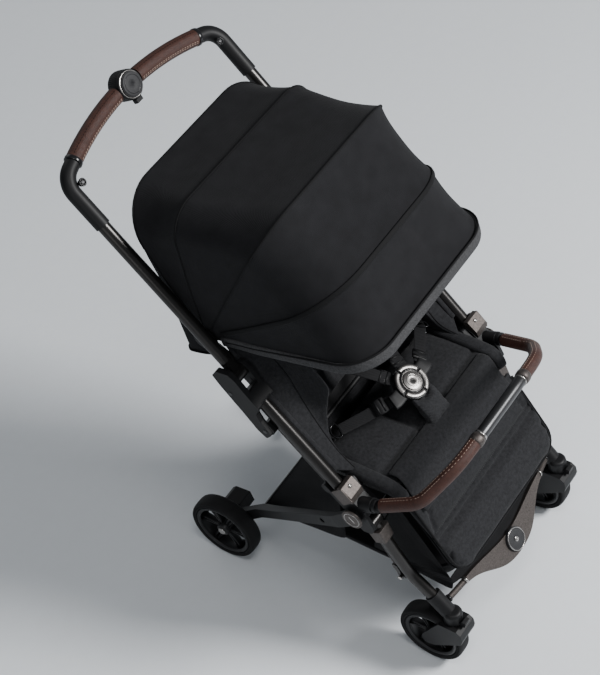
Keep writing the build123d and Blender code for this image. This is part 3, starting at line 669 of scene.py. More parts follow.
# ---- seat --------------------------------------------------------------
def seat_cushion():
    """Seat pad with sewn lines down its middle and across its front."""
    low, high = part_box("seat_pad")
    pad = copy_of("seat_pad", "seat_cushion", HEATHER)

    def sewn(p, n):
        """How deep a point is pulled in by stitching."""
        if n.z < 0.6:
            return 0.0
        near_line = min(abs(abs(p.x) - 0.046), abs(p.y - (low.y + 0.046)))
        return 0.007 if near_line < 0.0045 else 0.0

    inflate(pad, cap=0.011, seam=sewn)
    finish_piece(pad, "seat_frame", ["seat_pad"])
    return low, high


def back_cushion():
    """Backrest pad with side bolsters and cross seams."""
    centre, up, out, half, _ = slant("back_pad")
    pad = copy_of("back_pad", "back_cushion", HEATHER)

    def sewn(p, n):
        """How deep a point is pulled in by stitching."""
        if n.dot(out) < 0.5:
            return 0.0
        u = (p - centre).dot(up)
        lines = [abs(abs(p.x) - 0.138), abs(u + half * 0.25), abs(u - half * 0.35)]
        return 0.008 if min(lines) < 0.0045 else 0.0

    inflate(pad, cap=0.010, seam=sewn)
    finish_piece(pad, "backrest", ["back_pad"])
    return centre, up, out, half


CALF_CHANNELS = (-0.004, 0.010)
CALF_LONGER = 1.06          # the cloth is this much longer than the pad, downwards
CALF_WIDER = 1.03           # and this much wider


def calf_cushion():
    """Calf rest pad, with two channels across and a curved seam at each top corner."""
    centre, up, out, half, thick = slant("legrest_pad")
    pad = copy_of("legrest_pad", "calf_cushion", HEATHER)
    for v in pad.data.vertices:
        u = (v.co - centre).dot(up)
        v.co += up * (u - half) * (CALF_LONGER - 1) + X * v.co.x * (CALF_WIDER - 1)

    def sewn(p, n):
        """How deep a point is pulled in by stitching."""
        if n.dot(out) < 0.5:
            return 0.0
        u = (p - centre).dot(up)
        if min(abs(u - c) for c in CALF_CHANNELS) < 0.0026:
            return 0.0045
        lobe = 0.145 + 0.035 * max(0.0, 1 - u / half)
        if u > CALF_CHANNELS[1] and abs(abs(p.x) - lobe) < 0.004:
            return 0.006
        return 0.0

    inflate(pad, voxel=0.004, cap=0.009, shrink=0.0025, seam=sewn)
    finish_piece(pad, "calf_rest", ["legrest_pad"])
    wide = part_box("legrest_pad")[1].x * CALF_WIDER
    w, foot, r = wide - 0.0075, half - 2 * half * CALF_LONGER + 0.0100, 0.040
    outline = []
    for side in (1, -1):
        run = [(w, half - 0.01), (w, foot + r)]
        run += [(w - r + r * cos(a * pi / 12), foot + r - r * sin(a * pi / 12))
                for a in range(1, 7)]
        outline += [(side * x, u) for x, u in (run if side > 0 else reversed(run))]
    for name, lift in (("calf_piping_front", thick - 0.0005),
                       ("calf_piping_back", -thick + 0.0005)):
        path = [centre + X * x + up * u + out * lift for x, u in outline]
        cord = sweep(name, path, oval(0.0040, 0.0040, 10), PIPING)
        finish_piece(cord, "calf_rest")
    edge = [centre + X * x * 0.99 + up * (u + 0.001) + out * lift
            for lift in (thick, -thick) for x, u in outline]
    count = len(outline)
    band = make("calf_edge_band", edge,
                [(i, i + 1, count + i + 1, count + i) for i in range(count - 1)], HEATHER)
    thicken(band, 0.0012)
    run = sum((edge[i + 1] - edge[i]).length for i in range(count - 1))
    finish_piece(band, "calf_rest")
    for k, c in enumerate(CALF_CHANNELS):
        path = [centre + X * (w - 0.012) * t + up * c + out * (thick - 0.0055)
                for t in (-1, -0.5, 0, 0.5, 1)]
        stitched(f"calf_stitch_{k}", path, 0.0045, 0.0028, 0.0005, GREY_THREAD, "calf_rest")
    return centre, up, out, half


def stitched(name, path, pitch, length, radius, mat, body):
    """Row of small thread stitches along a path."""
    verts, faces = [], []
    left_over = 0.0
    ring = oval(radius * 2, radius * 2, 6)
    for a, b in zip(path, path[1:]):
        a, b = Vector(a), Vector(b)
        run = (b - a).length
        along, first, second = axes_of(b - a)
        at = left_over
        while at + length < run:
            base = len(verts)
            for s, grow in ((0.0, 0.3), (0.25, 1.0), (0.75, 1.0), (1.0, 0.3)):
                here = a + along * (at + s * length)
                verts += [here + (first * x + second * y) * grow for x, y in ring]
            for k in range(3):
                for j in range(6):
                    c, d = base + k * 6 + j, base + k * 6 + (j + 1) % 6
                    faces.append((c, d, d + 6, c + 6))
            faces.append(tuple(base + j for j in range(6))[::-1])
            faces.append(tuple(base + 18 + j for j in range(6)))
            at += pitch
        left_over = max(0.0, at - run)
    row = fix_normals(make(name, verts, faces, mat))
    return finish_piece(row, body)


# cross sections of the side wing: place along the tube and distance across, then its
# crest, its inner fold and its seam on the backrest, each as (x, y, z)
WING = (
    (-0.266, 0.220, (0.191, -0.176, 0.464), (0.189, -0.171, 0.462), (0.187, -0.166, 0.458)),
    (-0.215, 0.220, (0.184, -0.125, 0.494), (0.179, -0.112, 0.490), (0.182, -0.090, 0.461)),
    (-0.150, 0.220, (0.181, -0.080, 0.560), (0.162, -0.100, 0.553), (0.178, -0.020, 0.486)),
    (-0.100, 0.220, (0.180, -0.056, 0.607), (0.157, -0.104, 0.594), (0.176, 0.006, 0.532)),
    (-0.050, 0.220, (0.180, -0.031, 0.656), (0.156, -0.105, 0.635), (0.174, 0.030, 0.580)),
    (0.030, 0.214, (0.182, 0.016, 0.712), (0.160, -0.050, 0.700), (0.172, 0.070, 0.650)),
    (0.085, 0.205, (0.184, 0.064, 0.744), (0.168, 0.010, 0.735), (0.172, 0.100, 0.700)),
)


def side_wings():
    """Padded cloth walls from the seat tubes to the sides of the backrest."""
    for label, side in SIDES:
        lanes = [[], [], [], []]
        for s, across, crest, fold, seam in WING:
            tube = FOLD + TUBE_UP * s + TUBE_OUT * 0.002
            lanes[0].append(Vector((side * across, tube.y, tube.z)))
            for lane, (x, y, z) in zip(lanes[1:], (crest, fold, seam)):
                lane.append(Vector((side * x, y, z)))
        lanes = [curve_through(lane, 6) for lane in lanes]
        rows = []
        for points in zip(*lanes):
            section = curve_through(points, 6)
            row = []
            for k, here in enumerate(section):
                crumple = noise.noise(here * 17) * 0.005 * sin(pi * k / (len(section) - 1))
                row.append(here + Vector((side * crumple * 0.4, -crumple * 0.5, crumple)))
            rows.append(row)
        wing = loft(f"side_wing_{label}", rows, HEATHER)
        cloth(wing, (side * 0.10, 0.10, 0.45), 0.0030, "stretched",
              [f"seat_tube_{label}", "back_board"], 0.36, 1.25)
        start, end = FOLD + TUBE_UP * -0.10, FOLD + TUBE_UP * -0.10 - TUBE_OUT * 0.07
        span(wing, start)
        roll_path = [p + Vector((-side * 0.002, 0, 0.001)) for p in lanes[0]]
        roll = sweep(f"wing_roll_{label}", roll_path, oval(0.012, 0.009), HEATHER)
        finish_piece(roll, "seat_frame")
        cord = sweep(f"wing_seam_{label}", [row[6] for row in rows], oval(0.0026, 0.0026, 8),
                     PIPING)
        span(cord, start)


def seat_bight(seat_box):
    """Cloth in the crease between the seat and the backrest."""
    low, high = seat_box
    hinge_y, hinge_z = BACK_HINGE.y, BACK_HINGE.z
    rows = []
    for i in range(21):
        x = (i / 20 * 2 - 1) * 0.193
        rows.append(curve_through([(x, high.y - 0.020, low.z + 0.004),
                                   (x, high.y + 0.022, low.z - 0.002),
                                   (x, hinge_y + 0.004, hinge_z - 0.004),
                                   (x, hinge_y + 0.022, hinge_z + 0.030),
                                   (x, hinge_y + 0.056, hinge_z + 0.090)], 4))
    bight = loft("seat_bight", rows, HEATHER)
    cloth(bight, (0, 0.2, 0.3), 0.0018, "laid", ["seat_pan"], 0.386, 1.01)
    span(bight, (0, hinge_y - 0.010, hinge_z - 0.006))


def seat_rolls(seat_box):
    """Stuffed edge down each side of the seat."""
    low, high = seat_box
    x = high.x + 0.003
    for label, side in SIDES:
        path = curve_through([(side * x, high.y + 0.006, high.z - 0.004),
                              (side * x, (low.y + high.y) / 2, high.z - 0.006),
                              (side * x, low.y + 0.012, high.z - 0.010),
                              (side * (x - 0.004), low.y - 0.016, low.z + 0.002)], 7)
        count = len(path)
        roll = sweep(f"seat_roll_{label}", path, oval(0.030, 0.024, 18, 2.3), HEATHER,
                     scale=[0.35 + 0.65 * sin(pi * (0.08 + 0.84 * k / (count - 1))) ** 0.5
                            for k in range(count)])
        finish_piece(roll, "seat_frame")


APRON_HALF = 0.172


def seat_apron(seat_box, calf):
    """Padded fall of the seat's front edge on to the calf rest."""
    low, high = seat_box
    centre, up, out, half = calf
    hinge = anchor("calf_rest_tilt")
    top = centre + up * half
    rows = []
    for i in range(25):
        x = (i / 24 * 2 - 1) * APRON_HALF
        end = 1 - 0.25 * (abs(x) / APRON_HALF) ** 6
        start = Vector((x, low.y + 0.030, high.z + 0.001))
        crest = Vector((x, low.y + 0.004, high.z + 0.003 * end))
        fall = Vector((x, top.y - 0.004, top.z + 0.006))
        foot = Vector((x, 0, 0)) + Vector((0, *(top - up * 0.030 + out * 0.0145).yz))
        rows.append(curve_through([start, crest, fall, foot], 5))
    apron = loft("seat_apron", rows, HEATHER)
    faces_out(apron, (0, -0.2, 0.4))
    thicken(apron, 0.004, 1)
    span(apron, (0, hinge.y + 0.02, hinge.z + 0.035))


# ---- harness -----------------------------------------------------------
BUCKLE = middle("buckle_body")
BUCKLE_OUT = -Vector(JOINTS["buckle_press"]["axis"])


def buckle():
    """Round buckle: segmented bright ring, black well and brushed button."""
    low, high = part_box("buckle_body")
    radius = (high.x - low.x) / 2
    face = 0.0065
    parts = []
    for k in range(4):
        profile = [(0.0245, 0.0), (radius - 0.0008, 0.0), (radius - 0.0008, 0.0022),
                   (radius - 0.003, 0.0036), (0.0265, 0.0036), (0.0245, 0.0022)]
        parts.append(lathe("part", profile, BUCKLE + BUCKLE_OUT * face, BUCKLE_OUT, BUCKLE_METAL,
                           20, start=k / 4 + 0.035, turn=0.225))
    finish_piece(join("buckle_ring", parts), "seat_frame")
    well = flat_ring("buckle_well", 0.0215, 0.0243, 0.0030, BUCKLE + BUCKLE_OUT * face,
                     BUCKLE_OUT, GLOSS)
    finish_piece(well, "seat_frame")
    button = middle("buckle_button")
    plug("buckle_button_cap", button + BUCKLE_OUT * 0.0024, BUCKLE_OUT, 0.0195, 0.0030,
         BUCKLE_METAL, 0.8, "buckle_button")
    ring = flat_ring("buckle_button_ring", 0.0120, 0.0132, 0.0006,
                     button + BUCKLE_OUT * 0.0056, BUCKLE_OUT, CHROME)
    finish_piece(ring, "buckle_button")


def strap(name, points, ups, width, thick, mat, body=None, steps=8):
    """Flat webbing through the points, with its face turned to ups."""
    path = curve_through(points, steps)
    count = len(path)
    faces = []
    for i in range(count):
        t = i / (count - 1) * (len(ups) - 1)
        k = min(int(t), len(ups) - 2)
        faces.append(Vector(ups[k]).lerp(Vector(ups[k + 1]), t - k))
    obj = sweep(name, path, oval(width, thick, 16, 5.0), mat, up=faces)
    if body:
        finish_piece(obj, body)
    return obj


def slider(name, at, along, face, width, body):
    """Moulded strap slider with two low ribs across it."""
    at, along, face = Vector(at), Vector(along).normalized(), Vector(face).normalized()
    side = along.cross(face).normalized()
    face = side.cross(along)
    parts = [sweep("part", [at - along * 0.0125, at, at + along * 0.0125],
                   oval(width, 0.0064, 20, 4.0), PLASTIC, up=face, scale=[0.93, 1.0, 0.93])]
    for shift in (-0.0065, 0.0065):
        here = at + along * shift + face * 0.0034
        parts.append(sweep("part", [here - side * width * 0.42, here, here + side * width * 0.42],
                           oval(0.0036, 0.0026, 10, 2.4), PLASTIC, up=face))
    finish_piece(join(name, parts), body)


def d_ring(name, at, along, face, size, body):
    """Metal strap loop."""
    along, face = Vector(along).normalized(), Vector(face).normalized()
    side = along.cross(face).normalized()
    loop = []
    for k in range(20):
        a = 2 * pi * k / 20
        x, y = cos(a) * size / 2, sin(a) * size * 0.42
        loop.append(Vector(at) + side * x + along * (y if y > 0 else y * 0.35))
    obj = sweep(name, loop, oval(0.0030, 0.0030, 8), GLOSS, loop=True)
    finish_piece(obj, body)


def harness(back):
    """Crotch pad, hip straps and shoulder straps."""
    centre, up, out, _ = back
    pad = copy_of("crotch_pad", "crotch_cushion", TWILL)
    inflate(pad, voxel=0.004, cap=0.006, shrink=0.001)
    finish_piece(pad, "seat_frame", ["crotch_pad"])
    for label, side in SIDES:
        start = BUCKLE + X * side * 0.034
        hip = Vector((side * 0.150, -0.112, 0.500))
        mid = (start + hip) / 2 + Vector((0, 0, -0.004))
        ups = [BUCKLE_OUT, Vector((side * 0.15, -0.45, 0.88)), Vector((side * -0.2, -0.3, 0.93))]
        hip_strap = strap(f"hip_webbing_{label}", [start, mid, hip], ups, 0.024, 0.0020, WEBBING,
                          "seat_frame")
        strap(f"hip_tongue_{label}",
              [start - X * side * 0.004, start + X * side * 0.016,
               start + X * side * 0.026 + Vector((0, 0.003, 0))],
              [BUCKLE_OUT, BUCKLE_OUT], 0.030, 0.0075, PLASTIC, "seat_frame")
        along = hip - start
        slider(f"hip_slider_{label}", start + along * 0.34, along, ups[1], 0.032, "seat_frame")
        d_ring(f"hip_ring_{label}", hip + along.normalized() * 0.002 + Z * 0.002, along, ups[2],
               0.032, "seat_frame")
        strap(f"hip_tail_{label}", [hip, hip + Vector((side * 0.010, 0.010, -0.012)),
                                    hip + Vector((side * 0.018, 0.02, -0.036))],
              [ups[2], Vector((side * -0.7, -0.5, 0.5))], 0.022, 0.0020, WEBBING, "seat_frame")
        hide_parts("hip_straps")
        shoulder = []
        for u in (-0.19, -0.10, 0.02, 0.12):
            shoulder.append(centre + up * u + out * (0.021 if u > -0.15 else 0.026)
                            + X * side * 0.058)
        belt = strap(f"shoulder_webbing_{label}", shoulder, [out, out], 0.025, 0.0020, WEBBING,
                     "backrest")
        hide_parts("shoulder_straps")
        cushion = sweep(f"shoulder_pad_{label}", curve_through(
            [p + out * 0.004 for p in shoulder[1:]], 10),
            oval(0.050, 0.013, 18, 2.8), TWILL, up=out,
            scale=[0.72 + 0.28 * sin(pi * min(1, 0.12 + k / 21)) ** 0.3 for k in range(21)])
        finish_piece(cushion, "backrest")
        low_run = [shoulder[0], (shoulder[0] + BUCKLE) / 2 + Vector((side * 0.012, 0.01, 0.012)),
                   BUCKLE + Vector((side * 0.020, 0.028, 0.012))]
        link = strap(f"shoulder_lower_{label}", low_run, [out, BUCKLE_OUT], 0.024, 0.0020,
                     WEBBING)
        span(link, shoulder[0])
        slider(f"shoulder_slider_{label}", low_run[2] + Vector((side * 0.004, 0.016, 0.004)),
               low_run[1] - low_run[2], BUCKLE_OUT, 0.030, "seat_frame")


# ---- basket ------------------------------------------------------------
REAR_CROSS = anchor("rear_leg_fold").lerp(anchor("rear_wheel_left_spin"), 0.7625)
REAR_CROSS.x = 0.0
TUB_FRONT, TUB_BACK = -0.352, 0.068
TUB_HALF = (0.184, 0.164)   # half widths at the front and the back
TUB_SQUARE = 0.34           # below 1 squares the corners of its outline
TUB_T = 0.0014              # thickness of the basket's cloth


def tub_floor(y):
    """Height of the basket's floor, rising towards the front."""
    return 0.151 + 0.018 * min(1.0, max(0.0, (TUB_BACK - y) / 0.35))


def basket_tub(count=72, depths=8):
    """Sagging cloth tub and its hem."""
    mid_y, reach = (TUB_FRONT + TUB_BACK) / 2, (TUB_BACK - TUB_FRONT) / 2
    loops = []
    for depth in range(depths + 1):
        v = depth / depths
        row = []
        for i in range(count):
            a = 2 * pi * i / count
            c, s = cos(a), sin(a)
            x = abs(c) ** TUB_SQUARE * (1 if c > 0 else -1)
            y = abs(s) ** TUB_SQUARE * (1 if s > 0 else -1)
            t = (1 - y) / 2
            half = TUB_HALF[1] + (TUB_HALF[0] - TUB_HALF[1]) * t
            inset = 0.06 * v + 0.10 * v ** 4
            here = Vector((x * half * (1 - inset), mid_y + y * reach * (1 - inset * 0.5), 0))
            corner = max(0.0, abs(x) - 0.6) / 0.4 * max(0.0, -y - 0.4) / 0.6
            top = 0.190 + 0.012 * t + 0.034 * corner
            floor = tub_floor(here.y)
            here.z = max(floor, top + (floor - top) * v ** 0.8)
            wave = 0.0035 * noise.noise(Vector((here.x * 14, here.y * 14, v * 2)))
            row.append(here + Vector((wave, wave, 0)))
        loops.append(row)
    centre = Vector((0, mid_y, tub_floor(mid_y)))
    for fill in (0.66, 0.33):
        row = []
        for p in loops[depths]:
            here = centre.lerp(p, fill)
            here.z = tub_floor(here.y) + 0.0015 * noise.noise(here * 20)
            row.append(here)
        loops.append(row)
    verts = [p for row in loops for p in row] + [centre]
    faces = []
    for i in range(len(loops) - 1):
        for j in range(count):
            k = (j + 1) % count
            faces.append((i * count + j, i * count + k, (i + 1) * count + k, (i + 1) * count + j))
    last = (len(loops) - 1) * count
    for j in range(count):
        faces.append((last + j, last + (j + 1) % count, len(verts) - 1))
    tub = make("basket_tub", verts, faces, LINING)
    cloth(tub, centre + Z * 0.03, TUB_T, "hung",
          ["front_leg_left", "front_leg_right", "rear_axle"], 0.50, 1.02 * 1.1)
    start, end = Vector((0, -0.02, 0.2)), Vector((0, TUB_BACK + 0.01, 0.15))
    span(tub, start)
    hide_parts("basket")
    hem = sweep("basket_hem", [p + Z * 0.001 for p in loops[0]], oval(0.0050, 0.0090, 10), PIPING,
                loop=True, up=Z)
    span(hem, start)


def basket_sides():
    """High side gussets, corner straps and front webs."""
    rivet = anchor("link_rod_turn")
    seat_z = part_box("seat_pan")[0].z
    for label, side in SIDES:
        head_back = Vector((side * 0.172, -0.037, seat_z))
        head_front = Vector((side * 0.180, -0.100, seat_z))
        foot_back = Vector((side * 0.168, REAR_CROSS.y + 0.016, REAR_CROSS.z - 0.020))
        foot_front = Vector((side * 0.178, -0.115, 0.186))
        rows = []
        for k in range(13):
            v = k / 12
            row = []
            for j in range(9):
                t = j / 8
                here = head_back.lerp(head_front, t).lerp(foot_back.lerp(foot_front, t), v)
                pull = sin(pi * v) * sin(pi * (0.15 + 0.7 * t))
                crease = 0.010 * pull + 0.003 * noise.noise(here * 18)
                row.append(here - X * side * crease)
            rows.append(row)
        gusset = loft(f"basket_gusset_{label}", rows, LINING)
        cloth(gusset, (0, 0, 0.25), TUB_T, "hung", ["seat_pan", "rear_axle"], 0.20, 1.9)
        start, end = Vector((0, -0.03, 0.36)), REAR_CROSS
        span(gusset, start)
        edge = sweep(f"gusset_edge_{label}", [row[0] for row in rows], oval(0.0040, 0.0032, 10),
                     PIPING)
        span(edge, start)
        corner = Vector((side * (TUB_HALF[0] + 0.002), TUB_FRONT - 0.012, 0.228))
        tie = Vector((side * 0.206, rivet.y - 0.004, rivet.z + 0.012))
        strap(f"corner_strap_{label}", [corner, corner.lerp(tie, 0.5) + Z * 0.004, tie],
              [X * side, X * side], 0.016, 0.0018, WEBBING, "seat_frame")
        panel = []
        for k in range(7):
            v = k / 6
            top = Vector((side * 0.184, -0.246, seat_z)).lerp(corner, v)
            low_edge = Vector((side * 0.176, -0.170, 0.192)).lerp(corner - Z * 0.034, v)
            panel.append([top.lerp(low_edge, j / 5) - X * side * 0.004 * sin(pi * j / 5)
                          for j in range(6)])
        web = loft(f"basket_front_web_{label}", panel, LINING)
        cloth(web, (0, -0.25, 0.25), TUB_T, "hung", [f"front_leg_{label}"], 0.16, 1.6)
        finish_piece(web, "seat_frame")


LIP_HALF = 0.176            # half width of the flap in front of the tub


def basket_lip():
    """Flap from the tub's front hem down to the bowed crossbar."""
    rows = []
    for k in range(13):
        x = LIP_HALF * (k / 6 - 1)
        bow = 1 - (x / LIP_HALF) ** 2
        reach, drop = 0.008 + 0.022 * bow, 0.010 + 0.020 * bow
        rows.append([Vector((x, TUB_FRONT + 0.004 - reach * j / 4, 0.204 - drop * j / 4))
                     for j in range(5)])
    lip = loft("basket_front_lip", rows, LINING)
    cloth(lip, (0, TUB_FRONT, 0.10), TUB_T, "hung", ["crossbar"], 0.345, 1.3)
    finish_piece(lip, "seat_frame")


# ---- wheels ------------------------------------------------------------
def wheel(kind, label, side):
    """Foam tyre on a six-spoke rim with a bright hub cap."""
    centre = anchor(f"{kind}_wheel_{label}_spin")
    low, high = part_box(f"{kind}_tyre_{label}")
    radius, wide = (high.z - low.z) / 2, (high.x - low.x) / 2
    body = f"{kind}_wheel_{label}"
    seat = radius - 0.0128
    shoulder = [(seat, -wide * 0.80), (seat + 0.003, -wide * 0.97), (seat + 0.006, -wide)]
    for k in range(13):
        a = -pi / 2 + pi * k / 12
        w = wide * (1 if a > 0 else -1) * abs(sin(a)) ** 0.62
        shoulder.append((seat + 0.006 + (radius - seat - 0.0061) * cos(a) ** 0.62, w))
    shoulder += [(seat + 0.006, wide), (seat + 0.003, wide * 0.97), (seat, wide * 0.80)]
    tyre = lathe(f"{kind}_foam_tyre_{label}", shoulder, centre, X, RUBBER, 96)
    finish_piece(tyre, body, [f"{kind}_tyre_{label}"])
    parts = []
    inner = seat - 0.0075
    barrel = [(seat - 0.0002, -0.0155), (seat - 0.0002, 0.0155), (seat - 0.0022, 0.0168),
              (inner, 0.0150), (inner - 0.0015, 0.0125), (inner + 0.002, 0.010),
              (inner + 0.002, -0.010), (inner - 0.0015, -0.0125), (inner, -0.0150),
              (seat - 0.0022, -0.0168)]
    parts.append(lathe("part", barrel, centre, X, RIM, 72))
    hub = [(0.00405, -0.0160), (0.0120, -0.0160), (0.0140, -0.0140), (0.0150, -0.0060),
           (0.0150, 0.0060), (0.0140, 0.0140), (0.0120, 0.0160), (0.00405, 0.0160)]
    parts.append(lathe("part", hub, centre, X, RIM, 40))
    for k in range(6):
        for lean in (-1, 1):
            a = pi / 3 * k + 0.16 * lean
            b = pi / 3 * k + 0.085 * lean
            start = centre + Vector((0, cos(a), sin(a))) * 0.012
            end = centre + Vector((0, cos(b), sin(b))) * (inner + 0.002)
            path = [start.lerp(end, t) for t in (0.0, 0.25, 0.5, 0.75, 1.0)]
            parts.append(sweep("part", path, oval(0.0048, 0.0150, 12, 3.2), RIM, up=X,
                               scale=[1.1, 0.96, 0.92, 0.96, 1.08]))
    rim = join(f"{kind}_spoked_rim_{label}", parts)
    finish_piece(rim, body, [f"{kind}_rim_{label}"])
    for face, sign in (("outer", side), ("inner", -side)):
        mat, slot_name = (CHROME, "steel") if face == "outer" else (RIM, "rim")
        plug(f"{kind}_hub_cap_{label}_{face}", centre + X * sign * 0.0150, X * sign, 0.0088,
             0.0042, mat, 1.2, body)


# ---- metal and moulded details ------------------------------------------
HUB = FOLD + TUBE_UP * 0.516            # middle of the bowed grip
HUB_OUT = -Vector(JOINTS["fold_button_press"]["axis"])
GRIP_BOW = 0.629                        # radius of the grip's bow
GRIP_HALF = 0.192
STUD_UP = 0.451                         # press studs, up the tube from the fold pins


def grip_point(x, out=0.0, turn=0.0):
    """Point on the grip's surface; turn runs round it from the tube's upper side."""
    drop = GRIP_BOW - sqrt(GRIP_BOW ** 2 - x * x)
    slope = x / sqrt(GRIP_BOW ** 2 - x * x)
    along = (X - TUBE_UP * slope).normalized()
    across = along.cross(TUBE_OUT)
    return (HUB + X * x - TUBE_UP * drop + TUBE_OUT * out * cos(turn)
            + across * out * sin(turn))


def handle_details():
    """Stitching, end rings, press studs and the face of the fold hub."""
    for label, side in SIDES:
        xs = [side * (0.034 + (GRIP_HALF - 0.040) * k / 24) for k in range(25)]
        for row, turn, thread in (("a", 0.66, THREAD), ("b", 0.86, THREAD), ("c", -0.60, PIPING)):
            path = [grip_point(x, 0.0164, turn) for x in xs]
            stitched(f"grip_stitch_{label}_{row}", path, 0.0062, 0.0044, 0.0007, thread,
                     "handle")
        x0, x1 = side * (GRIP_HALF - 0.0045), side * (GRIP_HALF + 0.003)
        cuff = [grip_point(x0), grip_point((x0 + x1) / 2), grip_point(x1)]
        ring = sweep(f"grip_cuff_{label}", cuff, oval(0.0352, 0.0352, 32), GLOSS)
        finish_piece(soften(ring, 0.0012), "handle")
        seat = FOLD + TUBE_UP * STUD_UP + TUBE_OUT * 0.0165 + X * (side * 0.216)
        plug(f"press_stud_{label}", seat, TUBE_OUT, 0.0046, 0.0022, STEEL, 1.0, "handle")
        collar = lathe(f"stud_collar_{label}", [(0.0054, 0), (0.0080, 0), (0.0080, 0.0014),
                                               (0.0066, 0.0026), (0.0054, 0.0026)],
                       seat, TUBE_OUT, GLOSS)
        finish_piece(collar, "handle")
    face = HUB + HUB_OUT * 0.0164
    rim = lathe("hub_bright_rim", [(0.0244, 0.0), (0.0268, 0.0), (0.0268, 0.0009),
                                   (0.0262, 0.0013), (0.0248, 0.0013), (0.0244, 0.0009)],
                face, HUB_OUT, CHROME, 72)
    finish_piece(rim, "handle")
    parts = []
    _, first, second = axes_of(HUB_OUT)
    for k in range(48):
        a = 2 * pi * k / 48
        out = first * cos(a) + second * sin(a)
        base = HUB + out * 0.0288
        parts.append(sweep("part", [base - HUB_OUT * 0.012, base, base + HUB_OUT * 0.010],
                           oval(0.0016, 0.0012, 6), PLASTIC, up=out))
    finish_piece(join("hub_knurl", parts), "handle")
    plug("fold_button_face", middle("fold_button") + HUB_OUT * 0.0024, HUB_OUT, 0.0228, 0.0022,
         BADGE, 0.6, "fold_button", 64)
    mark = flat_ring("fold_button_ring", 0.0172, 0.0180, 0.0005,
                     middle("fold_button") + HUB_OUT * 0.0046, HUB_OUT, GLOSS, 64)
    finish_piece(mark, "fold_button")


# corners of the bumper bar's line on one side, and the radii of its two bends
BUMPER_LINE = ((0.235, -0.24609, 0.4477), (0.217, -0.32809, 0.486), (0.150, -0.37209, 0.546),
               (0.062, -0.38009, 0.561))
BUMPER_BENDS = (0.060, 0.090)
SLEEVE_X = 0.086            # the bare middle of the bar begins here


def bumper_path(side):
    """Centre line of the leather, from the mid joint to the bare middle."""
    points = [Vector((side * x, y, z)) for x, y, z in BUMPER_LINE]
    path = [points[0].lerp(points[1], 0.15)]
    for before, bend, after, radius in zip(points, points[1:], points[2:], BUMPER_BENDS):
        u, w = (before - bend).normalized(), (after - bend).normalized()
        half = u.angle(w) / 2
        centre = bend + (u + w).normalized() * radius / sin(half)
        first, last = bend + u * radius / tan(half), bend + w * radius / tan(half)
        for k in range(9):
            out = (first - centre).lerp(last - centre, k / 8).normalized()
            path.append(centre + out * radius)
    t = (BUMPER_LINE[2][0] - SLEEVE_X) / (BUMPER_LINE[2][0] - BUMPER_LINE[3][0])
    path.append(points[2].lerp(points[3], t))
    return path


def bumper_details():
    """Stitch rows on the leather and satin collars at its inner ends."""
    for label, side in SIDES:
        path = bumper_path(side)
        for row, tilt in (("a", -0.10), ("b", 0.45)):
            edge = []
            for k, here in enumerate(path):
                along = (path[min(k + 1, len(path) - 1)] - path[max(k - 1, 0)]).normalized()
                top = (Z - along * along.z).normalized()
                across = along.cross(top) * side
                edge.append(here + (top * cos(tilt) + across * sin(tilt)) * 0.0136)
            stitched(f"bumper_stitch_{label}_{row}", edge, 0.0062, 0.0042, 0.0006, THREAD,
                     "bumper_bar")
        run = (path[-1] - path[-2]).normalized()
        collar = lathe(f"bumper_collar_{label}", [(0.0110, -0.008), (0.0140, -0.008),
                                                 (0.0148, -0.006), (0.0148, 0.004),
                                                 (0.0134, 0.009), (0.0110, 0.009)],
                       path[-1], run, ACCENT)
        finish_piece(collar, "bumper_bar")
        ring = lathe(f"bumper_ring_{label}", [(0.0110, 0.010), (0.0128, 0.010), (0.0133, 0.012),
                                             (0.0128, 0.014), (0.0110, 0.014)],
                     path[-1], run, CHROME)
        finish_piece(ring, "bumper_bar")


BRAKE_DRUM = [(0.0000, 0.1235), (0.0120, 0.1235), (0.0150, 0.1265), (0.0150, 0.1630),
              (0.0090, 0.1640), (0.0000, 0.1640)]


PIN_UP = -0.297             # joint pins, up the tube from the fold pins
BADGE_TILT = radians(35)    # lean of the crossbar's badge from upright
BADGE_OUT = Vector((0, -cos(BADGE_TILT), sin(BADGE_TILT)))
BADGE_RISE = Vector((0, sin(BADGE_TILT), cos(BADGE_TILT)))
BAR_MIDDLE = Vector((0, -0.39609, 0.161)) - BADGE_OUT * 0.0055 + BADGE_RISE * 0.037
BAR_TIP = (0.203, -0.358, 0.176)


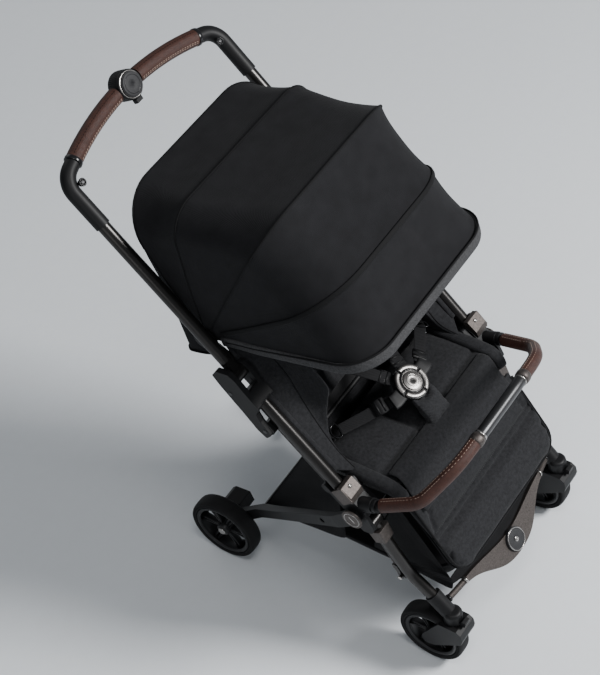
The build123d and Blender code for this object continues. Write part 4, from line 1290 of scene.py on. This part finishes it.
def frame_details():
    """Hub cap rings, medallion face, rivets, pins and screws."""
    axis = anchor("rear_leg_fold")
    rivet = anchor("link_rod_turn")
    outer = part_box("mid_joint_trims")[1].x
    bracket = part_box("fold_housings")[1].x
    for label, side in SIDES:
        face = Vector((side * (outer - 0.0003), axis.y, axis.z))
        ring = flat_ring(f"joint_cap_ring_{label}", 0.0158, 0.0172, 0.0009, face, X * side,
                         CHROME, 64)
        finish_piece(ring, "seat_frame")
        bar = sweep(f"joint_cap_bar_{label}", [face - TUBE_UP * 0.009, face, face + TUBE_UP * 0.009],
                    oval(0.0030, 0.0016, 12, 3.0), CHROME, up=X * side)
        finish_piece(bar, "seat_frame")
        pin_at = FOLD + TUBE_UP * PIN_UP + TUBE_OUT * 0.0275 + X * (side * 0.235)
        plug(f"joint_pin_{label}", pin_at, TUBE_OUT, 0.0040, 0.0020, CHROME, 1.0, "seat_frame")
        plug(f"leg_rivet_{label}", Vector((side * 0.2300, rivet.y, rivet.z)), X * side, 0.0050,
             0.0022, CHROME, 1.0, "front_legs")
        if side > 0:
            drum = lathe(f"brake_drum_{label}", BRAKE_DRUM,
                         Vector((0, *anchor("brake_pedal_lift").yz)), X * side, PLASTIC, 40)
            finish_piece(drum, "rear_legs")
        for k, s in enumerate((-0.118, -0.020)):
            at = FOLD + TUBE_UP * s + TUBE_OUT * -0.022
            plug(f"bracket_screw_{label}_{k}", Vector((side * (bracket - 0.0002), at.y, at.z)),
                 X * side, 0.0042, 0.0012, STEEL, 0.4, "seat_frame")
    centre = middle("medallion")
    ring = flat_ring("medallion_ring", 0.0222, 0.0240, 0.0010, centre + BADGE_OUT * 0.0029,
                     BADGE_OUT, CHROME, 72)
    finish_piece(ring, "front_legs")
    plug("medallion_face", centre + BADGE_OUT * 0.0026, BADGE_OUT, 0.0218, 0.0008, BADGE, 0.3,
         "front_legs", 64)
    plug("medallion_boss", centre + BADGE_OUT * 0.0032, BADGE_OUT, 0.0052, 0.0016, CHROME, 1.2,
         "front_legs")
    profile = [(0.0060, -0.003), (0.0078, -0.003), (0.0084, 0), (0.0078, 0.003), (0.0060, 0.003)]
    for label, side in SIDES:
        joint_at = BAR_MIDDLE + X * side * 0.147
        run = (Vector((side * BAR_TIP[0], *BAR_TIP[1:])) - joint_at).normalized()
        for k, (shift, mat, slot_name) in enumerate(((0.002, CHROME, "steel"),
                                                     (0.050, GLOSS, "gloss_black"))):
            ring = lathe(f"crossbar_ring_{label}_{k}", profile, joint_at + run * shift, run, mat)
            finish_piece(ring, "front_legs")


# ---- stage -------------------------------------------------------------
CAMERA_AT = (-1.9756, -1.57689, 3.3166)
CAMERA_AZIMUTH = -50.172    # degrees round from straight ahead
CAMERA_DROP = 47.377        # degrees looking down
CAMERA_ROLL = 9.120
LENS = 103.28


def camera():
    """Camera at the reference viewing angle."""
    a, e, r = radians(CAMERA_AZIMUTH), radians(CAMERA_DROP), radians(CAMERA_ROLL)
    ahead = Vector((-sin(a) * cos(e), cos(a) * cos(e), -sin(e)))
    level = ahead.cross(Z).normalized()
    below = ahead.cross(level)
    right = level * cos(r) + below * sin(r)
    down = level * -sin(r) + below * cos(r)
    matrix = Matrix((right, -down, -ahead)).transposed().to_4x4()
    matrix.translation = CAMERA_AT
    data = bpy.data.cameras.new("camera")
    data.lens = LENS
    data.sensor_width = 36.0
    data.clip_end = 50.0
    eye = bpy.data.objects.new("camera", data)
    eye.matrix_world = matrix
    bpy.context.scene.collection.objects.link(eye)
    bpy.context.scene.camera = eye


def softbox(name, place, target, size, power, shape=(1.0, 1.0)):
    """Rectangular area light aimed at a point."""
    data = bpy.data.lights.new(name, "AREA")
    data.shape = "RECTANGLE"
    data.size, data.size_y = size * shape[0], size * shape[1]
    data.energy = power
    lamp = bpy.data.objects.new(name, data)
    lamp.location = place
    lamp.rotation_mode = "QUATERNION"
    lamp.rotation_quaternion = (Vector(target) - Vector(place)).to_track_quat("-Z", "Y")
    bpy.context.scene.collection.objects.link(lamp)


def stage():
    """Pale floor, soft room light and three softboxes."""
    floor = make("floor", [(-9, -9, 0), (9, -9, 0), (9, 9, 0), (-9, 9, 0)], [(0, 1, 2, 3)],
                 surface("pale_floor", (0.80, 0.83, 0.86), 0.8, cell=0.02, depth=0.02,
                         spread=0.015, patch=1.5, Specular_IOR_Level=0.1))
    world = bpy.data.worlds.new("room")
    world.use_nodes = True
    world.node_tree.nodes["Background"].inputs["Color"].default_value = (0.80, 0.86, 0.92, 1)
    world.node_tree.nodes["Background"].inputs["Strength"].default_value = 0.21
    bpy.context.scene.world = world
    target = (0.0, -0.05, 0.5)
    softbox("key", (1.4, -3.0, 3.0), target, 1.1, 250.0)
    softbox("top", (-1.0, -1.2, 4.4), target, 1.4, 36.0, (1.0, 0.7))
    softbox("fill", (-3.2, -0.6, 2.0), target, 2.2, 18.0)
    softbox("back", (0.8, 3.4, 2.6), target, 2.0, 14.0)


# ---- build -------------------------------------------------------------
dress_nodes()
for sector in range(1, len(BOWS)):
    hood_sector(sector)
hood_trims()
hood_pivots()
hood_skirt()
seat_box = seat_cushion()
back = back_cushion()
calf = calf_cushion()
side_wings()
seat_bight(seat_box)
seat_rolls(seat_box)
seat_apron(seat_box, calf)
buckle()
harness(back)
basket_tub()
basket_sides()
basket_lip()
for wheel_label, wheel_side in SIDES:
    wheel("rear", wheel_label, wheel_side)
    wheel("front", wheel_label, wheel_side)
handle_details()
bumper_details()
frame_details()
camera()
stage()
